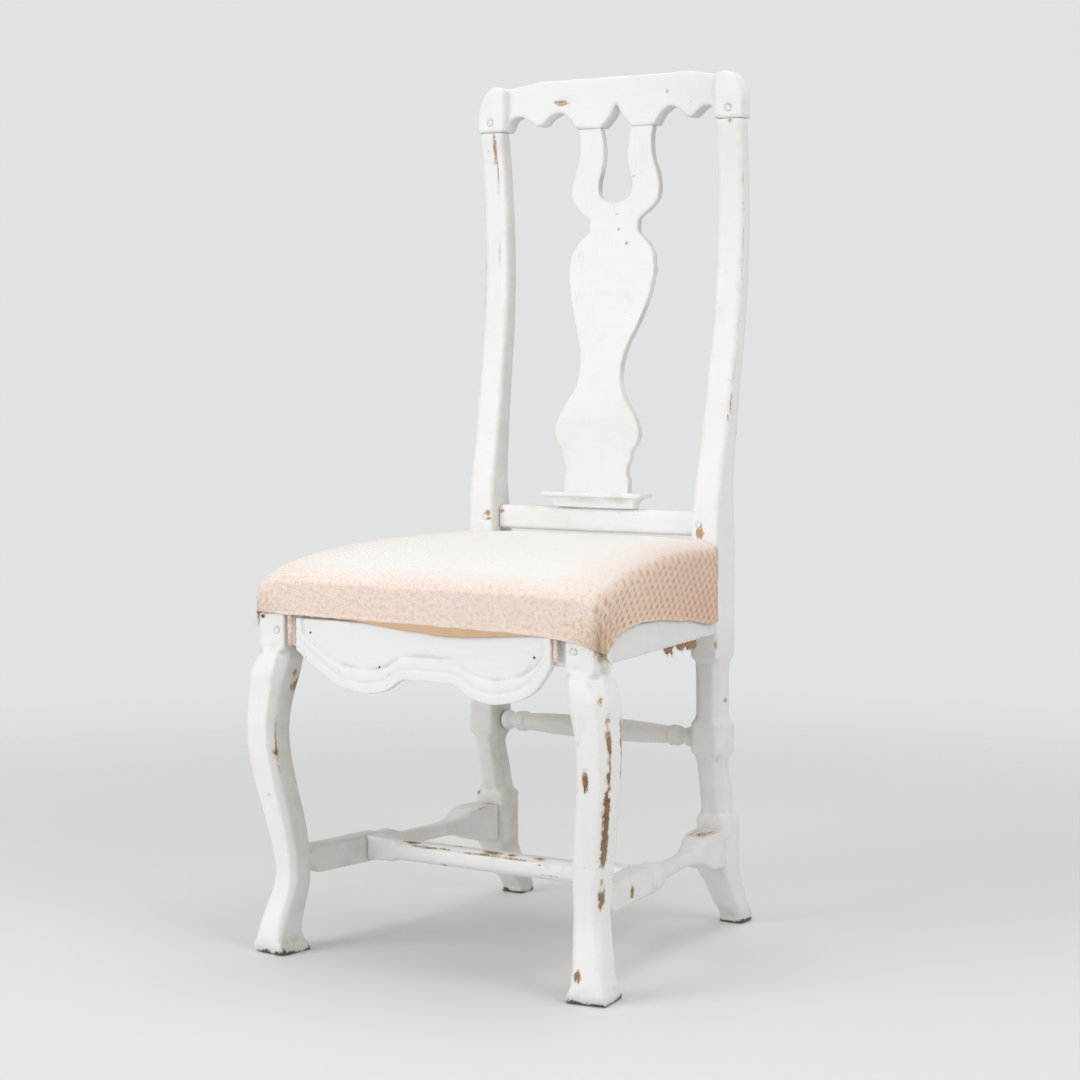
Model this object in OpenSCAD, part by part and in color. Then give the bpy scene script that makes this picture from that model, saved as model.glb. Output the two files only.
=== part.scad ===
/* [Overall] */
// Height to the top of the crest rail
chair_h = 1130; // [1000:5:1300]
// Width over the front leg blocks
front_w = 496; // [420:2:600]
// Width over the back posts at the seat
back_w = 390; // [330:2:470]
// Depth from the front of the leg blocks to the front of the back posts
seat_d = 389; // [330:1:470]
// Height of the top of the seat rails
seat_z = 436; // [400:1:480]

/* [Front legs] */
// Side of the square block at the top of a front leg
leg_s = 42; // [36:1:50]
// Height of that block
block_h = 46; // [40:1:70]
// Outward swing of the knee
knee_out = 18; // [8:1:26]
// Forward swing of the knee
knee_fwd = 7; // [2:1:14]
// Inward swing of the ankle
ankle_in = 4; // [0:1:8]
// Backward swing of the ankle
ankle_back = 14; // [6:1:20]
// Side of the leg at the swelling under the block
knee_s = 56; // [50:1:64]
// Side of the leg at the ankle
ankle_s = 38; // [34:1:42]
// Side of the square foot
pad_s = 52; // [44:1:60]
// Outward turn of the foot in degrees
pad_turn = 7; // [0:1:15]

/* [Back posts] */
// Width of a post seen from the front
post_w = 40; // [36:1:50]
// Depth of a post at the seat
post_d = 52; // [48:1:62]
// Depth of a post under the crest rail
post_top_d = 26; // [24:1:32]
// Furthest the post leans back from its front face at the seat
back_lean = 52; // [30:1:75]
// How far the post comes forward again at its top
top_return = 11; // [0:1:20]
// Outward spread of the post from seat to top
top_spread = 10; // [0:1:20]
// Backward kick of the foot
foot_kick = 69; // [40:1:85]
// Side of the block that holds the turned stretcher
knob_s = 47; // [41:1:50]
// Side of the block that holds the side stretcher
low_block_s = 45; // [43:1:52]

/* [Crest rail] */
// Height of the crest rail at its middle
crest_h = 68; // [60:1:90]
// Thickness of the crest rail
crest_t = 24; // [22:1:30]
// Bow of the crest rail in plan
crest_bow = 26; // [15:1:40]
// Drop from the middle of the crest rail to its rounded ends
crest_drop = 34; // [24:1:44]

/* [Splat] */
// Thickness of the splat board
splat_t = 12; // [9:1:13]
// Width across the two prongs under the crest rail
prong_w = 114; // [100:1:130]
// Width across the shoulders of the lyre
lyre_w = 138; // [120:1:150]
// Width of the neck under the lyre
neck_w = 78; // [60:1:90]
// Width of the vase
vase_w = 134; // [110:1:150]
// Width of the waist
waist_w = 66; // [50:1:80]
// Width of the lower bulb
bulb_w = 134; // [110:1:150]
// Width of the splat where it enters the shoe
splat_foot_w = 102; // [80:1:120]
// Width of the keyhole between the prongs
keyhole_w = 50; // [36:1:56]

/* [Back rail and shoe] */
// Height of the underside of the lower back rail above the seat rails
low_rail_rise = 84; // [60:1:120]
// Height of the lower back rail
low_rail_h = 33; // [28:1:44]
// Thickness of the lower back rail
low_rail_t = 26; // [24:1:30]
// Height of the shoe
shoe_h = 21; // [16:1:30]
// Length of the shoe's top lip
shoe_w = 156; // [150:1:190]
// Depth of the shoe's top lip
shoe_d = 34; // [33:1:40]
// Thickness of the shoe's lip
lip_t = 6; // [4:1:8]

/* [Seat rails and apron] */
// Thickness of the seat rails
rail_t = 24; // [20:1:26]
// Height of the side and rear seat rails
rail_h = 40; // [40:1:50]
// Height of the front seat rail
front_rail_h = 44; // [40:1:46]
// Length of the apron
apron_w = 376; // [320:2:400]
// Thickness of the apron
apron_t = 10; // [8:1:14]
// Distance from the top of the seat rails down to the apron
apron_low = 6; // [4:1:12]
// Height of the apron at its ends
apron_end_h = 40; // [34:1:50]
// Height of the apron at its middle
apron_mid_h = 68; // [62:1:76]
// Height of the apron at its two lobes
apron_lobe_h = 88; // [80:1:100]
// Distance from the middle of the carving to each lobe
lobe_x = 93; // [80:1:100]
// Sideways shift of the carving
carving_shift = 12; // [0:1:16]
// Depth of the carved relief
relief = 2; // [1:0.5:3]

/* [Stretchers] */
// Height of the underside of the side stretchers' necks
side_z = 102; // [96:1:112]
// Thickness of the side stretchers
side_t = 28; // [24:1:32]
// Height of the side stretchers' necks
side_neck_h = 26; // [24:1:30]
// Distance from the leg blocks' front to the middle of the cross stretcher
cross_y = 165; // [140:1:200]
// Thickness and height of the cross stretcher
cross_s = 27; // [24:1:29]
// Height of the turned stretcher's axis
turned_z = 255; // [240:1:262]
// Largest diameter of the turned stretcher
turned_d = 31; // [26:1:36]

/* [Seat] */
// Height of the stuffed seat's edge above the rails
edge_h = 52; // [30:1:54]
// Height of the crown above the seat's edge
crown_h = 24; // [10:1:26]
// Thickness of the cover cloth
cover_t = 1.6; // [1:0.1:2.5]
// Length of the cover below the top of the rails
skirt = 4; // [2:0.5:8]
// Width of a webbing strap
strap_w = 50; // [40:1:60]
// Thickness of a webbing strap
strap_t = 1.5; // [1:0.1:2]
// Thickness of the hessian
hessian_t = 1; // [0.8:0.1:1.5]
// Width of the torn hessian behind the right rail
torn_w = 104; // [60:2:130]
// Distance of the torn hessian from the end of the right rail
torn_from_post = 30; // [20:1:60]

/* [Joints] */
// Length of the tenons on rails and stretchers
tenon_l = 26; // [18:1:28]
// Thickness of the tenons
tenon_t = 9; // [8:1:12]
// Diameter of the pegs
peg_d = 8; // [6:1:9]
// Diameter of the nails
nail_d = 3; // [2:0.5:4]
// Gap left round every tenon
fit = 0.3; // [0.2:0.1:0.5]
// Gap left round every peg, nail and tack
peg_fit = 0.05; // [0.02:0.01:0.1]

/* [Hidden] */
$fn = 64;
eps = 0.01;
big = 2000;
paint = [0.92, 0.92, 0.89];
peach = [0.94, 0.80, 0.70];

// Places that several pieces share
leg_x = front_w / 2 - leg_s / 2;
leg_y = leg_s / 2;
post_x = back_w / 2 - post_w / 2;
post_y = seat_d + post_d / 2;
post_in = post_x - post_w / 2;
low_block_kick = 0.25 * foot_kick;
low_block_y = post_y + low_block_kick;
low_block_z = [86, 149];
knob_z = [turned_z - 24, turned_z + 27];
knob_flat = [knob_z[0] + 7, knob_z[1] - 7];
seat_block_z = [seat_z - 72, seat_z + low_rail_rise];
crest_z = chair_h - crest_h;
crest_end_y = seat_d + back_lean - top_return;
crest_half = post_x + top_spread + post_w / 2;
crest_r = (crest_half * crest_half + crest_bow * crest_bow) / (2 * crest_bow);
crest_cy = crest_end_y + crest_bow - crest_r;
low_rail_z = seat_z + low_rail_rise;
shoe_z = low_rail_z + low_rail_h;
splat_y = seat_d + 17;
low_rail_y = splat_y + low_rail_t / 2;
splat_z = shoe_z;
knee_z = seat_z - 81;
knee_front = leg_y - 0.45 * knee_fwd - knee_s / 2;
foot_s = 35;
foot_back = post_y + foot_kick + foot_s / 2;
mid_y = (knee_front + foot_back) / 2;
side_from = [leg_x - ankle_in, leg_y + ankle_back];
side_to = [post_x, low_block_y];
side_turn = atan2(side_from[0] - side_to[0], side_to[1] - side_from[1]);
side_len = (side_to[1] - side_from[1]) / cos(side_turn);
rail_turn = atan2(front_w / 2 - back_w / 2 - 1, seat_d - leg_s);

// Puts the middle of the chair's depth over the origin
module placed() translate([0, -mid_y, 0]) children();

// Smooth curve through [position, value] stations that never overshoots them
function slope(s, i) = (s[i + 1][1] - s[i][1]) / (s[i + 1][0] - s[i][0]);
function mean_slope(a, b) = a * b <= 0 ? 0 : 2 * a * b / (a + b);
function tangent(s, i) =
    i == 0 ? slope(s, 0) :
    i == len(s) - 1 ? slope(s, i - 1) : mean_slope(slope(s, i - 1), slope(s, i));
function span(s, t, i = 0) = i >= len(s) - 2 || t < s[i + 1][0] ? i : span(s, t, i + 1);
function curve(s, t) =
    let (i = span(s, t), h = s[i + 1][0] - s[i][0], u = (t - s[i][0]) / h)
    s[i][1] * (2 * u * u * u - 3 * u * u + 1) + s[i + 1][1] * (3 * u * u - 2 * u * u * u)
    + h * tangent(s, i) * (u * u * u - 2 * u * u + u) + h * tangent(s, i + 1) * (u * u * u - u * u);

// The same list from its end to its start
function turned_round(list) = [for (k = [len(list) - 1:-1:0]) list[k]];

// Chamfered rectangle of width w and depth d round [x, y] at height z
function section(x, y, z, w, d, front, back) = [
    [x - w / 2 + front, y - d / 2, z], [x + w / 2 - front, y - d / 2, z],
    [x + w / 2, y - d / 2 + front, z], [x + w / 2, y + d / 2 - back, z],
    [x + w / 2 - back, y + d / 2, z], [x - w / 2 + back, y + d / 2, z],
    [x - w / 2, y + d / 2 - back, z], [x - w / 2, y - d / 2 + front, z]];

// Solid skin over a stack of sections
module loft(rings) {
    n = len(rings[0]);
    last = (len(rings) - 1) * n;
    polyhedron(
        points = [for (r = rings) each r],
        faces = [
            [for (i = [0:n - 1]) i],
            [for (i = [n - 1:-1:0]) last + i],
            for (k = [0:len(rings) - 2], i = [0:n - 1])
                [k * n + i, (k + 1) * n + i, (k + 1) * n + (i + 1) % n, k * n + (i + 1) % n]]);
}

// Box given by its middle in x and y, its lowest z and its size
module block(x, y, z, size) translate([x - size[0] / 2, y - size[1] / 2, z]) cube(size);

// ---- Front legs ----
leg_swing_x = [[0, 5], [18, 7], [100, -ankle_in], [285, knee_out], [knee_z, knee_out * 0.5],
    [seat_z - block_h, 0], [seat_z, 0]];
leg_swing_y = [[0, 4], [18, 0], [100, ankle_back], [285, -knee_fwd], [knee_z, -knee_fwd * 0.45],
    [seat_z - block_h, 0], [seat_z, 0]];
leg_side = [[0, pad_s], [9, pad_s], [15, pad_s - 6], [35, ankle_s + 5], [100, ankle_s], [165, 43],
    [285, 46], [330, 50], [knee_z, knee_s], [seat_z - block_h - 12, knee_s - 2],
    [seat_z - block_h - 3, leg_s + 3], [seat_z - block_h, leg_s], [seat_z, leg_s]];
leg_chamfer = [[0, 2], [12, 2], [24, 6], [100, 8], [250, 8], [330, 10], [seat_z - block_h - 4, 14],
    [seat_z - block_h, 2], [seat_z, 2]];
leg_heights = [0, 9, 12, 15, 20, 26, for (z = [35:10:345]) z,
    knee_z - 5, knee_z, knee_z + 7, knee_z + 15,
    seat_z - block_h - 12, seat_z - block_h - 6, seat_z - block_h - 3, seat_z - block_h, seat_z - fit];

function leg_ring(z) =
    let (x = leg_x + curve(leg_swing_x, z), y = leg_y + curve(leg_swing_y, z),
         s = lookup(z, leg_side), c = lookup(z, leg_chamfer),
         turn = pad_turn * max(0, 1 - z / 250))
    [for (p = section(0, 0, z, s, s, c, c))
        [x + p[0] * cos(turn) - p[1] * sin(turn), y + p[0] * sin(turn) + p[1] * cos(turn), z]];

module right_leg_solid() {
    difference() {
        loft([for (z = leg_heights) leg_ring(z)]);
        front_rail_tenon(fit);
        side_rail_tenons(fit);
        stretcher_front_tenon(fit);
        front_leg_pegs(peg_fit);
        ankle_peg(peg_fit);
    }
}

module right_front_leg() color(paint) placed() right_leg_solid();
module left_front_leg() color(paint) placed() mirror([1, 0, 0]) right_leg_solid();

// ---- Back posts ----
rise = crest_z - low_rail_z;
post_lean = [[0, 0], [0.08, 2], [0.15, 0.16 * back_lean], [0.24, 0.37 * back_lean],
    [0.37, 0.6 * back_lean], [0.52, 0.86 * back_lean], [0.7, back_lean],
    [0.88, back_lean - 0.3 * top_return], [1, back_lean - top_return]];
post_depth = [[0, post_d], [0.08, post_d - 4], [0.15, post_d - 10], [0.24, post_top_d + 10],
    [0.37, post_top_d + 6], [0.7, post_top_d + 2], [1, post_top_d]];
post_kick = [[0, foot_kick], [10, foot_kick], [28, 0.78 * foot_kick], [55, 0.52 * foot_kick],
    [low_block_z[0], low_block_kick], [low_block_z[1], low_block_kick],
    [210, 0.06 * foot_kick], [knob_z[0], 0], [seat_block_z[0], 0]];
post_side = [[0, foot_s], [10, foot_s], [55, 40], [low_block_z[0], low_block_s],
    [low_block_z[1], low_block_s], [low_block_z[1] + 8, 39], [knob_z[0] - 7, 37],
    [knob_z[0], knob_s - 5], [knob_flat[0], knob_s], [knob_flat[1], knob_s],
    [knob_z[1], knob_s - 5], [knob_z[1] + 7, 38],
    [seat_block_z[0] - 8, 39], [seat_block_z[0], post_w]];
post_low_chamfer = [[0, 3], [55, 4], [low_block_z[0], 3], [low_block_z[1], 3],
    [low_block_z[1] + 8, 9], [knob_z[0] - 7, 9], [knob_z[0], 12], [knob_flat[0], 7],
    [knob_flat[1], 7], [knob_z[1], 12], [knob_z[1] + 7, 9], [seat_block_z[0] - 8, 9], [seat_block_z[0], 2]];
post_low_heights = [0, 10, 19, for (z = [28:9:82]) z, low_block_z[0], low_block_z[1],
    low_block_z[1] + 8, 185, 205, knob_z[0] - 7, knob_z[0], knob_flat[0], knob_flat[1],
    knob_z[1], knob_z[1] + 7,
    320, seat_block_z[0] - 8];

function post_low_ring(z) =
    let (s = lookup(z, post_side), c = lookup(z, post_low_chamfer),
         d = z < seat_block_z[0] - 8 ? s : s + 3)
    section(post_x, post_y + curve(post_kick, z), z, s, d, c, c);
function post_high_ring(u) =
    let (d = curve(post_depth, u), soft = min(1, u / 0.1))
    section(post_x + top_spread * u, seat_d + curve(post_lean, u) + d / 2, low_rail_z + rise * u,
        post_w, d, 2 + 2 * soft, 2 + 6 * soft);

module right_post_solid() {
    difference() {
        union() {
            loft([
                for (z = post_low_heights) post_low_ring(z),
                section(post_x, post_y, seat_block_z[0], post_w, post_d, 2, 2),
                for (u = [0:0.04:1]) post_high_ring(u)]);
            post_top_tenon(0);
        }
        side_rail_tenons(fit);
        rear_rail_tenon(fit);
        low_rail_tenon(fit);
        stretcher_back_tenon(fit);
        turned_tenon(fit / 2);
        back_post_pegs(peg_fit);
        crest_peg(peg_fit);
        low_block_peg(peg_fit);
    }
}

module post_top_tenon(gap)
    block(post_x + top_spread, crest_end_y + post_top_d / 2, crest_z - eps,
        [post_w - 16 + 2 * gap, tenon_t + 2 * gap, 26 + gap]);

module right_back_post() color(paint) placed() right_post_solid();
module left_back_post() color(paint) placed() mirror([1, 0, 0]) right_post_solid();

// ---- Crest rail ----
inner = crest_half - post_w;
prong = prong_w / 2;
slot = keyhole_w / 2 - 2;

// Upper edge from the middle out, as height below the top
crest_top = [[0, 0], [110, 1], [inner - 22, 6], [inner - 2, 9], [crest_half - 26, 6],
    [crest_half - 12, 14], [crest_half - 3, crest_drop - 5], [crest_half, crest_drop + 6]];
// Lower edge from the prong out, as height above the joint
crest_low = [[prong + 4, 0], [prong + 14, 14], [prong + 30, 23], [prong + 46, 17]];
crest_low_end = [[prong + 64, 6], [inner - 20, 20], [inner - 8, 17], [inner, 0]];

function crest_edge() = concat(
    [for (x = [0:6:crest_half - 30]) [x, chair_h - curve(crest_top, x)]],
    [for (d = [26, 20, 14, 9, 5, 2, 0]) [crest_half - d, chair_h - curve(crest_top, crest_half - d)]],
    [[crest_half, crest_z], [inner, crest_z]],
    [for (k = [8:-1:0]) let (x = prong + 64 + (inner - prong - 64) * k / 8.001)
        [x, crest_z + curve(crest_low_end, x)]],
    [[prong + 56, crest_z + 7]],
    [for (k = [8:-1:0]) let (x = prong + 4 + 42 * k / 8) [x, crest_z + curve(crest_low, x)]],
    [[slot, crest_z], [9, crest_z + 15], [0, crest_z + 32]]);

module crest_outline() both_ways(crest_edge());

// Plan of the bowed bar: both faces are arcs round the same centre
bow_steps = [for (k = [-18:1:18]) k * crest_half / 18];
function bow_at(x, r) = crest_cy + sqrt(r * r - x * x);
module crest_plan() polygon(concat(
    [for (x = bow_steps) [x, bow_at(x, crest_r)]],
    [for (x = turned_round(bow_steps)) [x, bow_at(x, crest_r + crest_t)]]));

// Bowed bar with a thicker ear over each post
module crest_bar() {
    translate([0, 0, crest_z - 1]) linear_extrude(crest_h + 2) crest_plan();
    for (side = [-1, 1])
        block(side * (inner + post_w / 2), crest_end_y + post_top_d / 2, crest_z - 1,
            [post_w + 2, post_top_d, crest_h + 2]);
}

module crest_rail() color(paint) placed() difference() {
    intersection() {
        translate([0, big, 0]) rotate([90, 0, 0]) linear_extrude(big) crest_outline();
        crest_bar();
    }
    for (side = [0, 1]) mirror([side, 0, 0]) {
        post_top_tenon(fit);
        crest_peg(peg_fit);
        prong_tenon(fit);
    }
}

// ---- Splat ----
top_y = crest_end_y + crest_bow;
splat_h = crest_z - splat_z;
// Front face of the splat from its foot to the crest
splat_lean = [[0, splat_y], [0.24, splat_y], [0.33, splat_y + 0.13 * back_lean],
    [0.41, splat_y + 0.3 * back_lean], [0.49, splat_y + 0.52 * back_lean],
    [0.57, splat_y + 0.68 * back_lean], [0.69, splat_y + 0.81 * back_lean],
    [0.88, top_y - 0.5], [1, top_y]];
// Half width of the splat from its foot to the crest
splat_half = [[0, splat_foot_w / 2], [0.05, splat_foot_w / 2], [0.075, splat_foot_w / 2 + 1],
    [0.09, splat_foot_w / 2 - 3], [0.115, splat_foot_w / 2 - 1.5], [0.125, splat_foot_w / 2 + 3],
    [0.15, splat_foot_w / 2 + 4], [0.165, bulb_w / 2 - 5], [0.192, bulb_w / 2],
    [0.21, bulb_w / 2 - 1], [0.245, bulb_w / 2 - 9], [0.29, waist_w / 2 + 10],
    [0.33, waist_w / 2 + 1], [0.365, waist_w / 2], [0.41, waist_w / 2 + 3], [0.49, vase_w / 2 - 16],
    [0.565, vase_w / 2 - 4], [0.62, vase_w / 2], [0.66, vase_w / 2 - 2], [0.69, vase_w / 2 - 10],
    [0.715, neck_w / 2 + 5], [0.725, neck_w / 2], [0.757, neck_w / 2],
    [0.767, neck_w / 2 + 6], [0.785, lyre_w / 2 - 12], [0.815, lyre_w / 2 - 1],
    [0.84, lyre_w / 2], [0.88, lyre_w / 2 - 4], [0.92, prong_w / 2 + 1], [0.96, prong_w / 2 - 1],
    [1, prong_w / 2 + 2]];
// Half width of the keyhole from its foot to the crest
keyhole = [[0.804, 0], [0.8055, 11], [0.811, keyhole_w / 2 - 7], [0.82, keyhole_w / 2 - 2.5],
    [0.832, keyhole_w / 2 - 0.5], [0.85, keyhole_w / 2],
    [0.88, keyhole_w / 2 - 3], [0.92, keyhole_w / 2 - 7], [0.95, keyhole_w / 2 - 7], [1, slot]];
splat_steps = [0, for (u = [0.004:0.008:0.996]) u, 1];
key_steps = [0.804, 0.8046, 0.8055, 0.808, 0.811, 0.815, 0.82, 0.826, for (u = [0.832:0.012:0.988]) u, 1];

module splat_outline() difference() {
    polygon(concat(
        [for (u = splat_steps) [curve(splat_half, u), splat_z + u * splat_h]],
        [for (u = turned_round(splat_steps)) [-curve(splat_half, u), splat_z + u * splat_h]]));
    polygon(concat(
        [for (u = key_steps) [curve(keyhole, u), splat_z + u * splat_h]],
        [[slot, crest_z + 1], [-slot, crest_z + 1]],
        [for (u = turned_round(key_steps))
            if (u > key_steps[0]) [-curve(keyhole, u), splat_z + u * splat_h]]));
}

bend_steps = [for (u = [0:0.04:1]) u];
module splat_bend() polygon(concat(
    [for (u = bend_steps) [curve(splat_lean, u), splat_z + u * splat_h]],
    [for (u = turned_round(bend_steps)) [curve(splat_lean, u) + splat_t, splat_z + u * splat_h]]));

module prong_tenon(gap)
    block((slot + prong) / 2, top_y + 2 + splat_t / 2, crest_z - eps,
        [prong - slot - 10 + 2 * gap, splat_t - 5 + 2 * gap, 14 + gap]);

module back_splat() color(paint) placed() {
    intersection() {
        translate([0, big / 2, 0]) rotate([90, 0, 0]) linear_extrude(big) splat_outline();
        translate([-big / 2, 0, 0]) rotate([90, 0, 90]) linear_extrude(big) splat_bend();
    }
    for (side = [0, 1]) mirror([side, 0, 0]) prong_tenon(0);
}

// ---- Shoe and lower back rail ----
shoe_y = splat_y + 2;
cove = shoe_h - lip_t;

// Half of a moulding section: flat lip on top, hollow below it
function moulding(reach, base) = concat(
    [[0, shoe_h], [reach, shoe_h], [reach, shoe_h - lip_t]],
    [for (a = [0:15:90]) [base + (reach - base - 2) * (1 - sin(a)), cove * cos(a)]]);

// Outline given by its right half, from the top round to the bottom
module both_ways(points)
    polygon(concat(points, [for (p = turned_round(points)) if (p[0] > 0) [-p[0], p[1]]]));

module splat_shoe() color(paint) placed() difference() {
    translate([0, shoe_y, shoe_z]) intersection() {
        translate([0, big / 2, 0]) rotate([90, 0, 0]) linear_extrude(big)
            both_ways(moulding(shoe_w / 2, shoe_w / 2 - 16));
        translate([-big / 2, 0, 0]) rotate([90, 0, 90]) linear_extrude(big)
            both_ways(moulding(shoe_d / 2, shoe_d / 2 - 9));
    }
    block(0, splat_y + splat_t / 2, shoe_z - 1,
        [splat_foot_w + 2 * fit + 1, splat_t + 2 * fit, shoe_h + 2]);
}

module low_rail_tenon(gap)
    block(post_in + tenon_l / 2, low_rail_y, low_rail_z + 5 - gap,
        [tenon_l + 2 * gap, tenon_t + 2 * gap, low_rail_h - 10 + 2 * gap]);

module lower_back_rail() color(paint) placed() difference() {
    union() {
        translate([-post_in, low_rail_y, low_rail_z + low_rail_h / 2]) rotate([0, 90, 0])
            loft([for (x = [0, 2 * post_in])
                section(0, 0, x, low_rail_h, low_rail_t, 4, 4)]);
        for (side = [0, 1]) mirror([side, 0, 0]) low_rail_tenon(0);
    }
    for (side = [0, 1]) mirror([side, 0, 0]) back_post_pegs(peg_fit);
}

// ---- Seat rails ----
front_rail_y = apron_t - 1 + rail_t / 2;
rear_rail_y = seat_d + 13 + rail_t / 2;
// The side rail's front tenon stops short of the front rail's
side_tenon_l = leg_s - front_rail_y - tenon_t / 2 - 2.5;

module front_rail_tenon(gap)
    block(leg_x - leg_s / 2 + tenon_l / 2 - 2, front_rail_y, seat_z - 38 - gap,
        [tenon_l + 4 + 2 * gap, tenon_t + 2 * gap, 28 + 2 * gap]);

module front_seat_rail() color(paint) placed() difference() {
    union() {
        block(0, front_rail_y, seat_z - front_rail_h, [front_w - 2 * leg_s, rail_t, front_rail_h]);
        for (side = [0, 1]) mirror([side, 0, 0]) front_rail_tenon(0);
    }
    for (side = [0, 1]) mirror([side, 0, 0]) front_leg_pegs(peg_fit);
    nails(peg_fit);
    front_tacks(peg_fit);
}

module rear_rail_tenon(gap)
    block(post_in + tenon_l / 2 - 2, rear_rail_y, seat_z - 36 - gap,
        [tenon_l + 4 + 2 * gap, tenon_t + 2 * gap, 26 + 2 * gap]);

module rear_seat_rail() color(paint) placed() difference() {
    union() {
        block(0, rear_rail_y, seat_z - rail_h, [2 * post_in, rail_t, rail_h]);
        for (side = [0, 1]) mirror([side, 0, 0]) rear_rail_tenon(0);
    }
    for (side = [0, 1]) mirror([side, 0, 0]) back_post_pegs(peg_fit);
    rear_tacks(peg_fit);
}

// Frame whose y runs along the right seat rail, with x = 0 on its outer face
module along_rail() translate([front_w / 2 - 1, leg_s, 0]) rotate([0, 0, rail_turn]) children();
rail_len = (seat_d - leg_s) / cos(rail_turn);

module side_rail_tenons(gap) along_rail() {
    translate([-rail_t / 2 - tenon_t / 2 - gap, -side_tenon_l - gap, seat_z - 38 - gap])
        cube([tenon_t + 2 * gap, side_tenon_l + 8 + 2 * gap, 28 + 2 * gap]);
    translate([-rail_t / 2 - tenon_t / 2 - gap, rail_len - 8, seat_z - 38 - gap])
        cube([tenon_t + 2 * gap, 8 + 22 + gap, 28 + 2 * gap]);
}

module right_rail_solid() difference() {
    union() {
        intersection() {
            along_rail() translate([-rail_t, -20, seat_z - rail_h]) cube([rail_t, rail_len + 40, rail_h]);
            translate([0, leg_s, 0]) cube([big, seat_d - leg_s, big]);
        }
        side_rail_tenons(0);
    }
    side_tacks(peg_fit);
    back_post_pegs(peg_fit);
}

module right_seat_rail() color(paint) placed() right_rail_solid();
module left_seat_rail() color(paint) placed() mirror([1, 0, 0]) right_rail_solid();

// ---- Apron ----
apron_top = seat_z - apron_low;
apron_half = apron_w / 2;
apron_low_edge = [[-apron_half, apron_end_h], [-apron_half + 30, apron_end_h + 22],
    [carving_shift - lobe_x - 34, apron_lobe_h - 4], [carving_shift - lobe_x, apron_lobe_h],
    [carving_shift - lobe_x + 30, apron_lobe_h - 5], [carving_shift - 36, apron_mid_h],
    [carving_shift, apron_mid_h - 1], [carving_shift + 36, apron_mid_h],
    [carving_shift + lobe_x - 30, apron_lobe_h - 5], [carving_shift + lobe_x, apron_lobe_h],
    [carving_shift + lobe_x + 34, apron_lobe_h - 6], [apron_half - 24, apron_end_h + 30],
    [apron_half, apron_end_h]];
apron_steps = [for (k = [0:1:60]) -apron_half + apron_w * k / 60];

module apron_outline(up) polygon(concat(
    [for (x = apron_steps) [x, apron_top - curve(apron_low_edge, x) + up]],
    [[apron_half, apron_top + (up > 0 ? 1 : 0)], [-apron_half, apron_top + (up > 0 ? 1 : 0)]]));

module front_apron() color(paint) placed() difference() {
    translate([0, apron_t - 1, 0]) rotate([90, 0, 0]) linear_extrude(apron_t) apron_outline(0);
    translate([0, relief - 1, 0]) rotate([90, 0, 0]) linear_extrude(relief + 1) intersection() {
        apron_outline(27);
        translate([-apron_half + 9, 0]) square([apron_w - 18, big]);
    }
    nails(peg_fit);
}

nail_places = [[-apron_half + 22, 24], [-60, 60], [carving_shift + 70, 66], [apron_half - 24, 34]];
module nails(gap) for (p = nail_places)
    translate([p[0], -1, apron_top - p[1] + 6]) rotate([-90, 0, 0])
        translate([0, 0, -1]) cylinder(h = 26 + 1, d = nail_d + 2 * gap);

module apron_nails() color([0.3, 0.22, 0.17]) placed() intersection() {
    nails(0);
    translate([-big / 2, relief - 1, 0]) cube(big);
}

// ---- Side stretchers ----
// Frame whose z runs back along the right side stretcher and whose x is level
module along_side() translate([side_from[0], side_from[1], side_z + side_neck_h / 2])
    rotate([0, 0, side_turn]) rotate([-90, 0, 0]) children();

side_gap_front = ankle_s / 2 - 2;
side_end = side_len - low_block_s / 2;
side_horn_t = low_block_s - 3;
cross_s_at = (cross_y - side_from[1]) / cos(side_turn);
// Stations along the stretcher: distance, lowest, highest, thickness, chamfer
side_stations = [
    [side_gap_front, 0, side_neck_h, side_t - 4, 5], [28, 0, side_neck_h, side_t - 4, 5],
    [36, -8, side_neck_h + 3, side_t, 3], [cross_s_at + 18, -8, side_neck_h + 3, side_t, 3],
    [cross_s_at + 21, -4, side_neck_h - 1, side_t - 5, 5],
    [cross_s_at + 28, -10, side_neck_h + 1, side_t + 2, 8],
    [cross_s_at + 44, -11, side_neck_h + 2, side_t + 4, 9],
    [cross_s_at + 58, -7, side_neck_h - 2, side_t, 8],
    [cross_s_at + 68, -1, side_neck_h - 6, side_t - 6, 6],
    [side_end - 114, 1, side_neck_h - 6, side_t - 6, 6],
    [side_end - 86, 2, side_neck_h - 4, side_t - 2, 5],
    [side_end - 69, 0, side_neck_h, side_t + 4, 4],
    [side_end - 55, -5, side_neck_h + 6, side_t + 10, 3],
    [side_end - 40, -11, side_neck_h + 9, side_horn_t, 2],
    [side_end, -17, side_neck_h + 9, side_horn_t, 2]];

function side_ring(s) = let (h = s[2] - s[1], mid = (s[2] + s[1] - side_neck_h) / 2)
    section(0, -mid, s[0], s[3], h, s[4], s[4]);

module stretcher_front_tenon(gap) along_side()
    translate([-tenon_t / 2 - gap, -9 - gap, -11 - gap])
        cube([tenon_t + 2 * gap, 18 + 2 * gap, 11 + side_gap_front + 6 + 2 * gap]);
module stretcher_back_tenon(gap) along_side()
    translate([-tenon_t / 2 - gap, -16 - gap, side_end - 6 - gap])
        cube([tenon_t + 2 * gap, 24 + 2 * gap, 6 + 30 + 2 * gap]);

module right_side_solid() difference() {
    union() {
        difference() {
            along_side() loft([for (s = side_stations) side_ring(s)]);
            ankle_clear();
            low_block_clear();
        }
        stretcher_front_tenon(0);
        stretcher_back_tenon(0);
    }
    cross_tenon(fit);
    ankle_peg(peg_fit);
    low_block_peg(peg_fit);
    cross_peg(peg_fit);
}

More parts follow.
